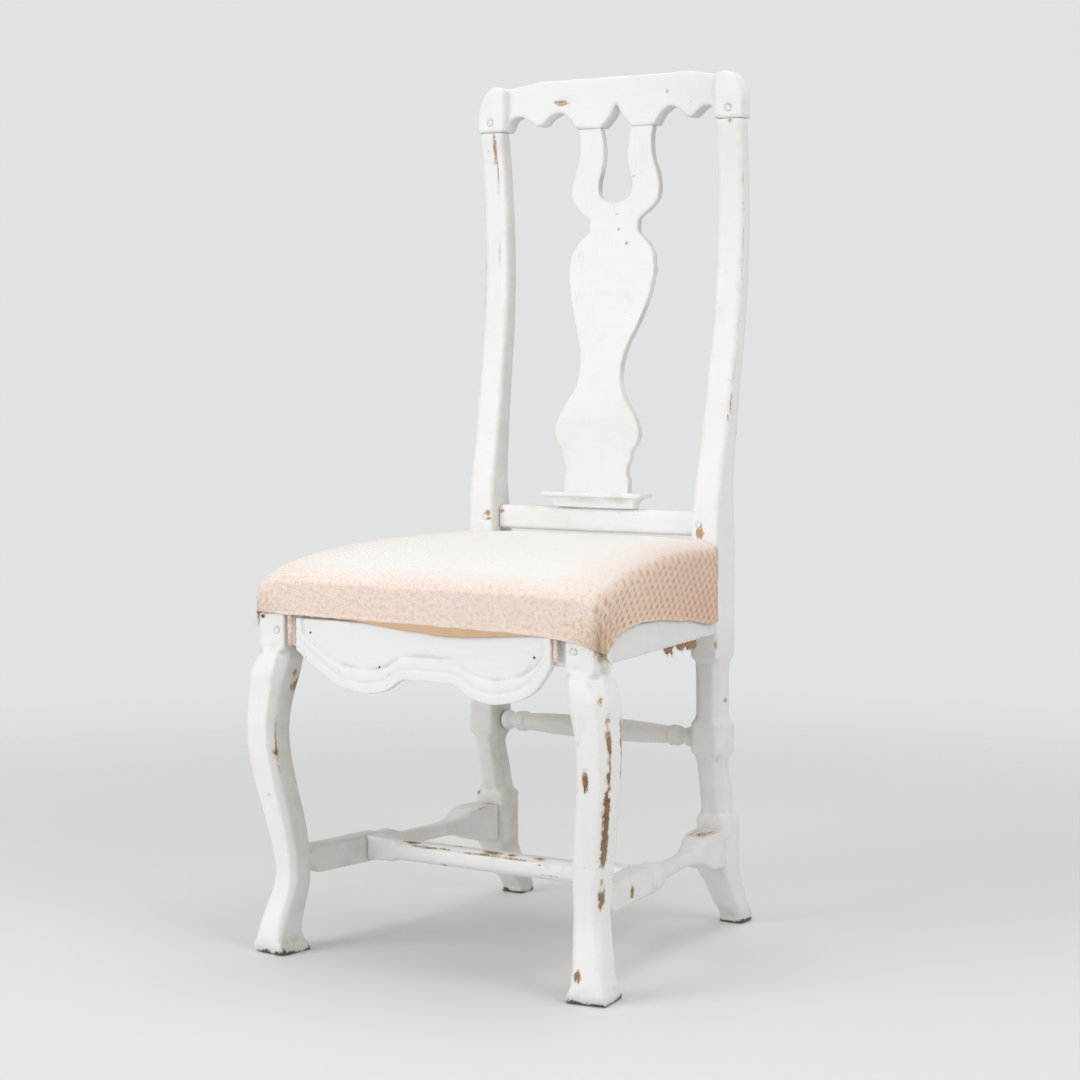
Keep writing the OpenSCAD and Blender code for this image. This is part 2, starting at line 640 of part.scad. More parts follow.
// The shoulders are scribed to the leg and to the post
module ankle_clear() {
    loft([for (z = leg_heights) if (z > side_z - 34 && z < side_z + 60) leg_ring(z)]);
}
module low_block_clear() block(post_x, low_block_y, low_block_z[0] - 30, [low_block_s, low_block_s, 130]);

module right_stretcher() color(paint) placed() right_side_solid();
module left_stretcher() color(paint) placed() mirror([1, 0, 0]) right_side_solid();

// ---- Cross stretcher ----
cross_z = side_z + side_neck_h / 2;
cross_face = side_from[0] - (cross_y - side_from[1]) * tan(side_turn)
    - side_t / 2 / cos(side_turn) - 1;
cross_end = 32;
cross_shoulder = 40;

module cross_tenon(gap)
    block(cross_face + 8, cross_y, cross_z - 9 - gap,
        [18 + 2 * gap, tenon_t + 2 * gap, 18 + 2 * gap]);

cross_len = 2 * cross_face + 4;
cross_stations = [[0, cross_end, 2], [cross_shoulder, cross_end, 2],
    [cross_shoulder + 6, cross_s, 7], [cross_len - cross_shoulder - 6, cross_s, 7],
    [cross_len - cross_shoulder, cross_end, 2], [cross_len, cross_end, 2]];

module cross_stretcher() color(paint) placed() difference() {
    union() {
        difference() {
            translate([-cross_face - 2, cross_y, cross_z]) rotate([0, 90, 0])
                loft([for (s = cross_stations) section(0, 0, s[0], s[1], cross_s, s[2], s[2])]);
            for (side = [0, 1]) mirror([side, 0, 0]) side_inner_clear();
        }
        for (side = [0, 1]) mirror([side, 0, 0]) cross_tenon(0);
    }
    for (side = [0, 1]) mirror([side, 0, 0]) cross_peg(peg_fit);
}
module side_inner_clear() along_side() translate([-side_t / 2, -40, 0]) cube([60, 80, side_len]);

// ---- Turned stretcher ----
turned_half = post_x - knob_s / 2;
// Half of the turning: distance from the middle and radius
collar = turned_half - 36;
turning = [[0, turned_d / 2], [collar * 0.3, turned_d / 2 - 0.3], [collar * 0.6, turned_d / 2 - 1.2],
    [collar * 0.85, turned_d / 2 - 3], [collar - 3, turned_d / 2 - 4], [collar, turned_d / 2 - 1],
    [collar + 3, turned_d / 2 - 2], [collar + 11, turned_d / 2 - 2], [collar + 14, turned_d / 2 - 4],
    [collar + 17, turned_d / 2 - 5], [turned_half - 14, turned_d / 2 - 5],
    [turned_half - 11, turned_d / 2 - 2], [turned_half - 4, turned_d / 2 - 2],
    [turned_half, turned_d / 2 - 5]];

module turned_tenon(gap)
    translate([turned_half - 1, post_y, turned_z]) rotate([0, 90, 0]) cylinder(h = 21, r = 8 + gap);

module turned_stretcher() color(paint) placed() {
    translate([0, post_y, turned_z]) rotate([0, 90, 0]) rotate_extrude() polygon(concat(
        [[0, -turned_half]],
        [for (k = [len(turning) - 1:-1:1]) [turning[k][1], -turning[k][0]]],
        [for (s = turning) [s[1], s[0]]],
        [[0, turned_half]]));
    for (side = [0, 1]) mirror([side, 0, 0]) intersection() {
        turned_tenon(0);
        translate([turned_half - 1, 0, 0]) cube(big);
    }
}

// ---- Pegs ----
module peg(x, y, z, length, gap) translate([x, y, z]) rotate([-90, 0, 0])
    cylinder(h = length, d = peg_d + 2 * gap);

module crest_peg(gap) peg(post_x + top_spread, crest_end_y - 4, crest_z + 13, crest_t + 1, gap);
module back_post_pegs(gap) {
    peg(post_in + 12, seat_d - eps, low_rail_z + low_rail_h / 2, low_rail_y - seat_d + 16, gap);
    peg(post_in + 12, seat_d - eps, seat_z - 23, rear_rail_y - seat_d + 12, gap);
}
module front_leg_pegs(gap)
    peg(leg_x - leg_s / 2 + 13, -eps, seat_z - 24, front_rail_y + 12, gap);
module ankle_peg(gap) translate([side_from[0], side_from[1], cross_z]) rotate([0, 0, side_turn])
    translate([0, -2, 0]) rotate([0, 90, 0]) cylinder(h = ankle_s / 2 - 2, d = peg_d + 2 * gap);
module low_block_peg(gap) translate([post_x - 8, low_block_y - 10, cross_z + 6]) rotate([0, 90, 0])
    cylinder(h = 8 + low_block_s / 2 - 1, d = peg_d + 2 * gap);
module cross_peg(gap) translate([cross_face + 8, cross_y, cross_z + 4 - side_neck_h / 2 - 8])
    cylinder(h = side_neck_h + 6, d = peg_d + 2 * gap);

module pegs() color([0.80, 0.77, 0.70]) placed() for (side = [0, 1]) mirror([side, 0, 0]) children();
module crest_pegs() pegs() intersection() {
    crest_peg(0);
    crest_bar();
}
module back_rail_pegs() pegs() intersection() {
    back_post_pegs(0);
    translate([0, 0, low_rail_z - 10]) cube(big);
}
module seat_rail_pegs() pegs() {
    front_leg_pegs(0);
    intersection() {
        back_post_pegs(0);
        cube([big, big, seat_z]);
    }
}
module stretcher_pegs() pegs() {
    ankle_peg(0);
    low_block_peg(0);
    cross_peg(0);
}

// ---- Seat ----
strap_pitch = (back_w - 2 * post_w) * 0.23;
strap_x = [for (i = [-1.5:1:1.5]) i * strap_pitch];
side_strap_y = [for (i = [0:3]) leg_s + 20 + i * (seat_d - 110) / 3];
web_z = seat_z;
hess_z = web_z + 2 * strap_t;
stuff_z = hess_z + hessian_t;
seat_back = rear_rail_y + rail_t / 2;

// Plan of the seat grown outwards by g
function seat_half(g) = let (s = tan(rail_turn)) [
    [front_w / 2 + g - 2, -g], [front_w / 2 + g, 2 - g],
    [front_w / 2 + g, leg_s], [front_w / 2 + g - s * (seat_back - leg_s), seat_back + g]];
function seat_plan(g) = let (h = seat_half(g))
    concat(h, [for (k = [len(h) - 1:-1:0]) [-h[k][0], h[k][1]]]);
module seat_slab(g, z, h) translate([0, 0, z]) linear_extrude(h) polygon(seat_plan(g));
module post_notches(g) for (side = [0, 1]) mirror([side, 0, 0])
    translate([post_in - g, seat_d - g, 0]) cube([big, big, big]);

module dome(g, z) {
    hull() {
        seat_slab(g, z, stuff_z - z + edge_h - 22);
        seat_slab(g - 4, z, stuff_z - z + edge_h - 9);
        seat_slab(g - 13, z, stuff_z - z + edge_h + g);
        seat_slab(g - 38, z, stuff_z - z + edge_h + crown_h * 0.5 + g);
        seat_slab(g - 80, z, stuff_z - z + edge_h + crown_h * 0.85 + g);
        seat_slab(g - 135, z, stuff_z - z + edge_h + crown_h + g);
    }
}

module seat_webbing() color([0.62, 0.50, 0.36]) placed() difference() {
    union() {
        for (x = strap_x) block(x, seat_back / 2 + 8, web_z, [strap_w, seat_back - 24, strap_t]);
        for (y = side_strap_y)
            block(0, y, web_z + strap_t,
                [front_w - 26 - 2 * (y + 30) * tan(rail_turn), strap_w, strap_t]);
    }
    front_tacks(peg_fit);
    rear_tacks(peg_fit);
    for (side = [0, 1]) mirror([side, 0, 0]) side_tacks(peg_fit);
}

tack_d = 1.6;
tack_l = 9;
module tack(gap) translate([0, 0, -tack_l])
    cylinder(h = tack_l + strap_t, d = tack_d + 2 * gap, $fn = 24);
module front_tacks(gap) for (x = strap_x) translate([x, front_rail_y + 4, web_z]) tack(gap);
module rear_tacks(gap) for (x = strap_x) translate([x, rear_rail_y, web_z]) tack(gap);
module side_tacks(gap) for (y = side_strap_y)
    translate([front_w / 2 - rail_t + 4 - (y - leg_s) * tan(rail_turn), y, web_z + strap_t])
        tack(gap);

module webbing_tacks() color([0.25, 0.2, 0.17]) placed() {
    front_tacks(0);
    rear_tacks(0);
    for (side = [0, 1]) mirror([side, 0, 0]) side_tacks(0);
}

module seat_hessian() color([0.66, 0.53, 0.37]) placed() difference() {
    seat_slab(-3, hess_z, hessian_t);
    post_notches(1);
}

module seat_stuffing() color([0.72, 0.64, 0.5]) placed() difference() {
    dome(-1, stuff_z);
    post_notches(1);
}

module seat_cover() color(peach) placed() difference() {
    dome(fit + cover_t, seat_z - skirt);
    difference() {
        dome(fit - 0.7, seat_z - skirt - 1);
        post_notches(1 - fit);
    }
    translate([0, 0, -1]) seat_slab(fit, 0, hess_z + 1);
    post_notches(fit);
}

under_y = 0.2;
tab_t = 1.2;
// Older cover, seen as a strip between the apron and the newer cover
module under_cover() color([0.85, 0.62, 0.42]) placed() difference() {
    translate([-apron_half + 12, under_y, apron_top + fit])
        cube([apron_w - 24, apron_t - 1.5, apron_low - 2 * fit]);
    translate([-big / 2, under_y + 1.4, apron_top + 2]) cube([big, big, big]);
}

// Ends of the older cover, turned down in the gaps beside the apron
module cover_tabs() color(peach) placed() for (side = [0, 1]) mirror([side, 0, 0])
    translate([apron_half + 1.5, front_rail_y - rail_t / 2 - tab_t - fit, seat_z - 46])
        cube([leg_x - leg_s / 2 - apron_half - 5, tab_t, 45]);

// Torn hessian that hangs behind the right seat rail
module torn_hessian() color([0.60, 0.42, 0.28]) placed() along_rail()
    translate([-rail_t - hessian_t - fit, rail_len - torn_w - torn_from_post, seat_z - rail_h - 16])
        cube([hessian_t, torn_w, rail_h + 14]);

left_back_post();
right_back_post();
crest_rail();
back_splat();
splat_shoe();
lower_back_rail();
rear_seat_rail();
left_seat_rail();
right_seat_rail();
front_seat_rail();
front_apron();
left_front_leg();
right_front_leg();
left_stretcher();
right_stretcher();
cross_stretcher();
turned_stretcher();
crest_pegs();
back_rail_pegs();
seat_rail_pegs();
stretcher_pegs();
apron_nails();
seat_webbing();
webbing_tacks();
seat_hessian();
seat_stuffing();
under_cover();
seat_cover();
cover_tabs();
torn_hessian();
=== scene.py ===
import itertools
import math
import bpy
import numpy as np
from types import SimpleNamespace
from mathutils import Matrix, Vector


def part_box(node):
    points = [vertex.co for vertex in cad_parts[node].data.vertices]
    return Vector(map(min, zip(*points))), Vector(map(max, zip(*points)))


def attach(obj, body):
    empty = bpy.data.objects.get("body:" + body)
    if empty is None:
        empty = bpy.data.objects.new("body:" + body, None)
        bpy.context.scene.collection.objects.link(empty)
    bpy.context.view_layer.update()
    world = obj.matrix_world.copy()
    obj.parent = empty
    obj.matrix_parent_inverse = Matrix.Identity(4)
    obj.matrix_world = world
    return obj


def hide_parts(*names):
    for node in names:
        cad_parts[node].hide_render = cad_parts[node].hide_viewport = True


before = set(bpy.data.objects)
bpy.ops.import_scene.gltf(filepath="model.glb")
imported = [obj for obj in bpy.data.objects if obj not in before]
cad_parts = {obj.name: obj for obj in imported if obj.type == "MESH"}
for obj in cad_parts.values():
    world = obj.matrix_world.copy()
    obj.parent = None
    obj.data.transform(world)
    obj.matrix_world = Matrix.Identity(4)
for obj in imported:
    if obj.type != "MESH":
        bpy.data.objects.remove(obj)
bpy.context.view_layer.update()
MM = 0.001


# ---------------------------------------------------------------- noise and mesh helpers
def lattice(i, j, k, seed):
    """A fixed random value from 0 to 1 for each whole-numbered point."""
    n = (i * 374761393 + j * 668265263 + k * 1442695041 + seed * 974634777) & 0x7FFFFFFF
    n = ((n ^ (n >> 13)) * 1274126177) & 0x7FFFFFFF
    return ((n ^ (n >> 16)) & 0xFFFF) / 65535.0


def noise(points, size, seed):
    """Smooth noise from -1 to 1 with features of that size in metres."""
    q = points / size
    cell = np.floor(q).astype(np.int64)
    f = q - cell
    f = f * f * (3 - 2 * f)
    total = np.zeros(len(points))
    for step in itertools.product((0, 1), repeat=3):
        weight = np.ones(len(points))
        for axis in range(3):
            weight = weight * (f[:, axis] if step[axis] else 1 - f[:, axis])
        total += weight * lattice(cell[:, 0] + step[0], cell[:, 1] + step[1], cell[:, 2] + step[2], seed)
    return total * 2 - 1


def box(node):
    """Low and high corner of that CAD node."""
    return [np.array(corner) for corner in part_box(node)]


def unit(values):
    """The values held between 0 and 1."""
    return np.clip(values, 0, 1)


def positions(mesh):
    co = np.empty(len(mesh.vertices) * 3, np.float32)
    mesh.vertices.foreach_get("co", co)
    return co.reshape(-1, 3).astype(float)


def normals(mesh):
    n = np.empty(len(mesh.vertices) * 3, np.float32)
    mesh.vertex_normals.foreach_get("vector", n)
    return n.reshape(-1, 3).astype(float)


def move(mesh, co):
    mesh.vertices.foreach_set("co", co.astype(np.float32).ravel())
    mesh.update()


def mark(mesh, name, values):
    layer = mesh.attributes.new(name, "FLOAT", "POINT")
    layer.data.foreach_set("value", np.clip(values, 0, 4).astype(np.float32))


def mark_vector(mesh, name, values):
    layer = mesh.attributes.new(name, "FLOAT_VECTOR", "POINT")
    layer.data.foreach_set("vector", values.astype(np.float32).ravel())


def link(name, mesh):
    obj = bpy.data.objects.new(name, mesh)
    bpy.context.scene.collection.objects.link(obj)
    return obj


def made(name, points, faces):
    mesh = bpy.data.meshes.new(name)
    mesh.from_pydata([tuple(p) for p in points], [], faces)
    mesh.update()
    return link(name, mesh)


def applied(obj):
    """Turns the object's modifiers into its mesh."""
    graph = bpy.context.evaluated_depsgraph_get()
    mesh = bpy.data.meshes.new_from_object(obj.evaluated_get(graph))
    obj.modifiers.clear()
    obj.data = mesh
    return obj


def thickened(obj, thickness, offset):
    """Gives a sheet of faces that thickness: offset -1 is inward, 0 is both ways."""
    m = obj.modifiers.new("thick", "SOLIDIFY")
    m.thickness, m.offset = thickness, offset
    return applied(obj)


def fan_faces(rings, count):
    """Faces between closed rings of points, with the last point fanned to the first ring."""
    ahead = [(i + 1) % count for i in range(count)]
    faces = [[r * count + i, (r + 1) * count + i, (r + 1) * count + ahead[i], r * count + ahead[i]]
             for r in range(rings - 1) for i in range(count)]
    return faces + [[rings * count, i, ahead[i]] for i in range(count)]


def tube_faces(base, rings, sides):
    """Faces of a closed tube whose rings of points start at that index."""
    faces = []
    for k in range(rings - 1):
        for s in range(sides):
            a, b = base + k * sides + s, base + k * sides + (s + 1) % sides
            faces.append([a, b, b + sides, a + sides])
    ends = [[base + k * sides + s for s in range(sides)] for k in (0, rings - 1)]
    return faces + [ends[0][::-1], ends[1]]


def smooth_shaded(obj):
    obj.data.polygons.foreach_set("use_smooth", [True] * len(obj.data.polygons))


def dressed(obj, mat):
    """Smooth shading and that material."""
    smooth_shaded(obj)
    obj.data.materials.append(mat)


def copy_of(name, nodes):
    """One new mesh with the triangles of the named CAD nodes."""
    points, faces, base = [], [], 0
    for n in nodes:
        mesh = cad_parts[n].data
        points += [tuple(v.co) for v in mesh.vertices]
        faces += [[base + i for i in p.vertices] for p in mesh.polygons]
        base = len(points)
    return made(name, points, faces)


def remeshed(obj, voxel, rounds):
    """Closed even skin of that voxel size, softened by rounds of smoothing."""
    m = obj.modifiers.new("skin", "REMESH")
    m.mode = "VOXEL"
    m.voxel_size = voxel
    if rounds:
        s = obj.modifiers.new("soften", "SMOOTH")
        s.factor, s.iterations = 0.5, rounds
    return applied(obj)


def spread(values, a, b, degree, rounds):
    """Averages values with their neighbours along the edges a-b."""
    for _ in range(rounds):
        total = np.bincount(a, values[b], len(values)) + np.bincount(b, values[a], len(values))
        values = 0.4 * values + 0.6 * total / degree
    return values


def bend_of(mesh):
    """How convex (+) or hollow (-) the skin is at each point, as a share of its edge length."""
    co, n = positions(mesh), normals(mesh)
    pairs = np.empty(len(mesh.edges) * 2, np.int32)
    mesh.edges.foreach_get("vertices", pairs)
    a, b = pairs[0::2], pairs[1::2]
    degree = np.maximum(np.bincount(a, minlength=len(co)) + np.bincount(b, minlength=len(co)), 1)
    mean = np.stack([(np.bincount(a, co[b, k], len(co)) + np.bincount(b, co[a, k], len(co))) / degree
                     for k in range(3)], 1)
    length = np.linalg.norm(co[a] - co[b], axis=1).mean()
    bend = -((mean - co) * n).sum(1) / length
    return bend, (a, b, degree)


# ---------------------------------------------------------------- painted wood: shape
# Bare or scuffed places of each node: share of its box in x, y and z, half sizes in mm, depth
CHIPS = {
    "crest_rail": [
        ((0.297, 0.43, 0.537), (9, 9, 3.4), 0.72), ((0.70, 0.43, 0.625), (3, 6, 2.4), 0.7),
        ((0.90, 0.2, 0.02), (9, 9, 2.0), 0.6)],
    "left_back_post": [
        ((0.50, 0.36, 0.955), (2.2, 14, 20), 1.0), ((0.535, 0.34, 0.915), (1.5, 14, 30), 0.92),
        ((0.56, 0.32, 0.83), (1.2, 14, 40), 0.72), ((0.79, 0.0, 0.498), (5, 5, 3), 0.8),
        ((0.20, 0.10, 0.42), (3, 8, 7), 0.66)],
    "right_back_post": [
        ((0.326, 0.0, 0.483), (4.6, 5, 5.0), 1.1), ((0.68, 0.36, 0.973), (4, 6, 2.4), 0.7),
        ((0.85, 0.35, 0.215), (2.4, 3, 2.4), 0.8), ((0.79, 0.22, 0.282), (2.4, 5, 3), 0.7),
        ((0.785, 0.0, 0.35), (3, 4, 5), 0.7)],
    "back_splat": [
        ((0.572, 0.71, 0.712), (3.4, 6, 2.4), 0.5), ((0.67, 0.68, 0.676), (3.4, 6, 2.6), 0.55)],
    "lower_back_rail": [
        ((0.085, 0.0, 0.72), (3, 6, 2.4), 0.9), ((0.93, 0.1, 0.12), (7, 7, 2.4), 0.8)],
    "front_apron": [
        ((0.96, 0.1, 0.22), (3, 8, 6), 0.7)],
    "left_front_leg": [
        ((0.84, 0.62, 0.785), (5, 9, 8), 1.0), ((0.90, 0.50, 0.82), (4, 6, 4), 0.8),
        ((0.70, 0.16, 0.593), (3, 5, 4.5), 0.9)],
    "right_front_leg": [
        ((0.57, 0.03, 0.608), (4.0, 5, 11), 1.1), ((0.34, 0.14, 0.074), (4.0, 6, 6.0), 1.1),
        ((0.83, 0.10, 0.825), (3, 5, 6), 0.7), ((0.695, 0.46, 0.945), (3, 6, 4), 0.7)],
    "right_stretcher": [
        ((0.91, 0.237, 0.50), (6, 5, 6.5), 1.1), ((0.604, 0.597, 0.30), (5, 9, 3), 0.8),
        ((0.566, 0.56, 0.50), (3, 8, 2.4), 0.9), ((0.36, 0.84, 0.98), (14, 18, 2.6), 0.62)],
    "left_stretcher": [
        ((0.85, 0.93, 0.98), (14, 16, 3), 0.6)],
    "cross_stretcher": [
        ((0.201, 0.24, 0.93), (10, 4, 2.2), 1.0), ((0.50, 0.25, 0.93), (15, 4, 2.2), 0.95),
        ((0.57, 0.22, 0.91), (7, 4, 2.4), 1.0), ((0.326, 0.22, 0.10), (4, 5, 2.4), 0.9),
        ((0.365, 0.60, 0.95), (9, 4, 2.2), 0.7), ((0.673, 0.19, 0.87), (8, 3, 2.2), 0.8)],
}

# Worn corners: node, axis it runs along, way the corner points, from and to as shares of the
# node's length, half width in mm, depth
STREAKS = [
    ("right_front_leg", 2, (1, -0.35, 0), 0.24, 0.62, 3.7, 1.40),
    ("right_front_leg", 2, (1, -0.35, 0), 0.58, 0.80, 3.0, 1.2),
    ("right_front_leg", 2, (1, 0.1, 0), 0.60, 0.79, 1.5, 1.0),
    ("left_front_leg", 2, (1, -0.2, 0), 0.52, 0.70, 1.4, 0.62),
    ("left_back_post", 2, (-1, -0.6, 0), 0.69, 0.92, 1.9, 0.80),
    ("right_back_post", 2, (1, -0.6, 0), 0.60, 0.93, 1.3, 0.44),
    ("right_back_post", 2, (1, -1, 0), 0.42, 0.49, 1.8, 0.8),
    ("cross_stretcher", 0, (0, -1, 1), 0.14, 0.78, 1.3, 0.7),
    ("left_stretcher", 1, (1, 0, 1), 0.70, 0.97, 1.3, 0.6),
]

# Slices along a node, in each of which its outermost point is found
SLICES = 120

# Old dirt and painted shade on the pieces that sit low and behind: how much, and below which height in m
LOW_DIRT_AND_SHADE = {"left_stretcher": (0.35, 1), "right_stretcher": (0.5, 1), "turned_stretcher": (0.4, 1),
         "left_back_post": (0.6, 0.42), "right_back_post": (0.45, 0.42), "right_seat_rail": (0.3, 1)}

# Painted shade on the faces that look towards the middle of the chair
INNER_SHADE = {"left_front_leg": 0.9, "left_back_post": 0.9, "left_stretcher": 0.6, "right_front_leg": 0.3}


def streak_field(node, co):
    """Depth of the ragged wear along that node's corners, found as its outermost points."""
    low, high = box(node)
    field = np.zeros(len(co))
    for number, (name, axis, way, start, end, half, depth) in enumerate(STREAKS):
        if name != node:
            continue
        along = (co[:, axis] - low[axis]) / (high[axis] - low[axis])
        slice_at = np.clip((along * SLICES).astype(int), 0, SLICES - 1)
        order = np.lexsort((co @ np.array(way, float), slice_at))
        last = np.flatnonzero(np.diff(np.append(slice_at[order], SLICES)))
        tips, at = co[order[last]], slice_at[order[last]]
        line = np.stack([np.interp(slice_at, at, tips[:, k]) for k in range(3)], 1)
        line[:, axis] = co[:, axis]
        away = np.linalg.norm(co - line, axis=1) / (half * MM)
        run = np.zeros_like(co)
        run[:, axis] = co[:, axis]
        torn = 0.30 + 0.35 * depth + 0.75 * noise(run, 0.026, 301 + number)
        torn += 0.6 * noise(co, 0.008, 302 + number)
        inside = unit((along - start) / 0.03) * unit((end - along) / 0.03)
        field = np.maximum(field, depth * inside * unit(torn) * np.clip(1.6 - 0.8 * away, 0, 1.15))
    return field


def chip_field(node, co):
    """Depth of the bare places on that node, 1 or more at their middle and 0 outside."""
    low, high = box(node)
    field = streak_field(node, co)
    for share, size, depth in CHIPS.get(node, ()):
        middle = low + np.array(share) * (high - low)
        away = np.linalg.norm((co - middle) / (np.array(size) * MM), axis=1)
        field = np.maximum(field, depth * np.clip(1.55 - away * 0.9, 0, 1.3))
    return field


# Grooves in the apron: distance from its lower edge, half width and depth, in mm
GROOVES = (13.5, 2.0, 0.75), (25.5, 2.2, 0.55)


def carved_lines(co, n):
    """Depth in mm of the grooves that follow the apron's lower edge."""
    pitch = 2 * MM
    columns = np.round(co[:, 0] / pitch).astype(int)
    edge = np.array([(c * pitch, co[columns == c, 2].min()) for c in np.unique(columns)])
    front = np.flatnonzero(n[:, 1] < -0.5)
    away = np.empty(len(front))
    for k in range(0, len(front), 2000):
        part = co[front[k:k + 2000]][:, None, [0, 2]] - edge[None]
        away[k:k + 2000] = np.sqrt((part ** 2).sum(2)).min(1)
    depth = np.zeros(len(co))
    for middle, width, deep in GROOVES:
        depth[front] += deep * np.exp(-(((away / MM - middle) / width) ** 2))
    return depth


def dirt_and_painted_shade(node, co, n, seed):
    """How dark each point is painted: dirt and painted shade on sawn edges and on low and rear pieces,
    painted shade on faces towards the chair's middle.
    """
    # Dirt and painted shade on the splat's sawn sides and under the crest rail
    sawn = {"back_splat": unit((np.abs(n[:, 0]) - 0.5) / 0.3), "crest_rail": unit(-n[:, 2])}
    dirt = sawn.get(node, 0) * np.clip(1.0 + 1.1 * noise(co, 0.03, seed), 0, 1.6)
    # Dirt and painted shade on the low and rear pieces, below their height
    darkening_share, ceiling = LOW_DIRT_AND_SHADE.get(node, (0, 1))
    dirt += darkening_share * unit((ceiling - co[:, 2]) / 0.06)
    # Painted shade on the faces turned towards the chair's middle
    return dirt + INNER_SHADE.get(node, 0) * unit(-n[:, 0] * np.sign(co[:, 0]) * 1.3 - 0.2)


# Unevenness of hand-worked wood: depth in mm and size in metres
UNEVEN = (0.30, 0.06), (0.16, 0.017), (0.05, 0.006)


def wood(node, voxel, rounds, seed):
    """Hand-worked, thickly painted piece made from one CAD node, with wear, dirt and painted shade marked on
    its skin.
    """
    obj = remeshed(copy_of(node + "_painted", [node]), voxel * MM, rounds)
    mesh = obj.data
    co, n = positions(mesh), normals(mesh)
    bend, (a, b, degree) = bend_of(mesh)
    near = spread(bend, a, b, degree, 2)
    far = spread(bend, a, b, degree, 10)
    edge = unit(near / 0.055)
    hollow = unit(-far / 0.02)
    chips = chip_field(node, co)
    nick = unit(noise(co, 0.011, seed + 3)) * unit(noise(co, 0.05, seed + 4) + 0.1)
    shift = sum(deep * noise(co, size, seed + k) for k, (deep, size) in enumerate(UNEVEN))
    shift -= edge * (0.20 + 0.9 * nick) + 0.35 * unit(chips)
    if node == "front_apron":
        groove = carved_lines(co, n)
        shift -= groove
        # The grooves join the hollows, so their colour gets painted shade
        hollow = unit(hollow + 0.35 * groove)
    if node == "crest_rail":
        near = near * 0.3
    low, high = box(node)
    move(mesh, np.clip(co + n * (shift * MM)[:, None], low, high))
    mark(mesh, "edge", spread(np.clip(near / 0.05, 0, 1.5), a, b, degree, 1))
    mark(mesh, "hollow", hollow)
    # Dirt and painted shade for the paint's colour
    mark(mesh, "dull", dirt_and_painted_shade(node, co, n, seed + 5))
    mark(mesh, "chip", chips)
    smooth_shaded(obj)
    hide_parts(node)
    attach(obj, "root")
    return obj


# ---------------------------------------------------------------- shader helpers
def shader(name):
    mat = bpy.data.materials.new(name)
    mat.use_nodes = True
    mat.node_tree.nodes.clear()
    return mat, mat.node_tree


def put(tree, kind, inputs=None, **props):
    """A new shader node of that kind with its inputs linked or set."""
    node = tree.nodes.new("ShaderNode" + kind)
    for key, value in props.items():
        setattr(node, key, value)
    for key, value in (inputs or {}).items():
        if isinstance(value, bpy.types.NodeSocket):
            tree.links.new(value, node.inputs[key])
        else:
            node.inputs[key].default_value = value
    return node


def calc(tree, op, a, b=0.0, c=0.0, clamp=False):
    return put(tree, "Math", {0: a, 1: b, 2: c}, operation=op, use_clamp=clamp).outputs[0]


def times(tree, a, b):
    return calc(tree, "MULTIPLY", a, b)


def inverse(tree, value):
    return calc(tree, "SUBTRACT", 1.0, value)


def shaken(tree, value, texture, amount):
    """The value moved up and down by a texture centred on one half."""
    return calc(tree, "MULTIPLY_ADD", calc(tree, "SUBTRACT", texture, 0.5), amount, value)


def piled(tree, first, *others):
    """Sum of values, each given with how much of it."""
    total = times(tree, *first)
    for value, amount in others:
        total = calc(tree, "MULTIPLY_ADD", value, amount, total)
    return total


def step(tree, value, low, high):
    """0 below low, 1 above high, smooth between."""
    return put(tree, "MapRange", {"Value": value, "From Min": low, "From Max": high},
               interpolation_type="SMOOTHSTEP").outputs["Result"]


def blend(tree, share, a, b, how="MIX"):
    node = tree.nodes.new("ShaderNodeMix")
    node.data_type, node.blend_type = "RGBA", how
    for key, value in ((0, share), (6, a), (7, b)):
        if isinstance(value, bpy.types.NodeSocket):
            tree.links.new(value, node.inputs[key])
        else:
            node.inputs[key].default_value = value if key == 0 else (*value, 1)
    return node.outputs[2]


def tint(tree, color, share, amount, other):
    """The colour with that amount of another over it where the share is 1."""
    return blend(tree, times(tree, share, amount), color, other)


def place(tree, scale=(1, 1, 1)):
    where = put(tree, "TexCoord").outputs["Object"]
    return put(tree, "Mapping", {"Vector": where, "Scale": scale}).outputs[0]


def speck(tree, where, scale, detail=3.0, rough=0.55, distort=0.0):
    return put(tree, "TexNoise", {"Vector": where, "Scale": scale, "Detail": detail,
                                            "Roughness": rough, "Distortion": distort}).outputs["Fac"]


def attribute(tree, name):
    return put(tree, "Attribute", attribute_name=name).outputs["Fac"]


def finish_surface(tree, color, rough, height, distance, **sockets):
    bump = put(tree, "Bump", {"Height": height, "Distance": distance, "Strength": 1.0})
    surface = put(tree, "BsdfPrincipled", {"Base Color": color, "Roughness": rough,
                                                     "Normal": bump.outputs[0]})
    for key, value in sockets.items():
        surface.inputs[key.replace("_", " ")].default_value = value
    put(tree, "OutputMaterial", {"Surface": surface.outputs[0]})
    return surface


# ---------------------------------------------------------------- painted wood: looks
GRAIN = {"x": (0.08, 1, 1), "y": (1, 0.08, 1), "z": (1, 1, 0.08)}
HAIR = {"x": (0.12, 1, 1), "y": (1, 0.12, 1), "z": (1, 1, 0.12)}


def paint_values(t, axis):
    """The noises and marked values that painted wood is made from."""
    here, grain = place(t), place(t, GRAIN[axis])
    return SimpleNamespace(
        here=here, height=put(t, "SeparateXYZ", {"Vector": place(t)}).outputs["Z"],
        broad=speck(t, here, 7, 4), blot=speck(t, here, 34, 5, 0.6), fine=speck(t, here, 260, 4, 0.65),
        ragged=speck(t, here, 420, 6, 0.7, 0.6), strand=speck(t, grain, 330, 4, 0.6),
        brush=speck(t, grain, 160, 3, 0.6),
        **{k: attribute(t, k) for k in ("edge", "hollow", "dull", "chip")})


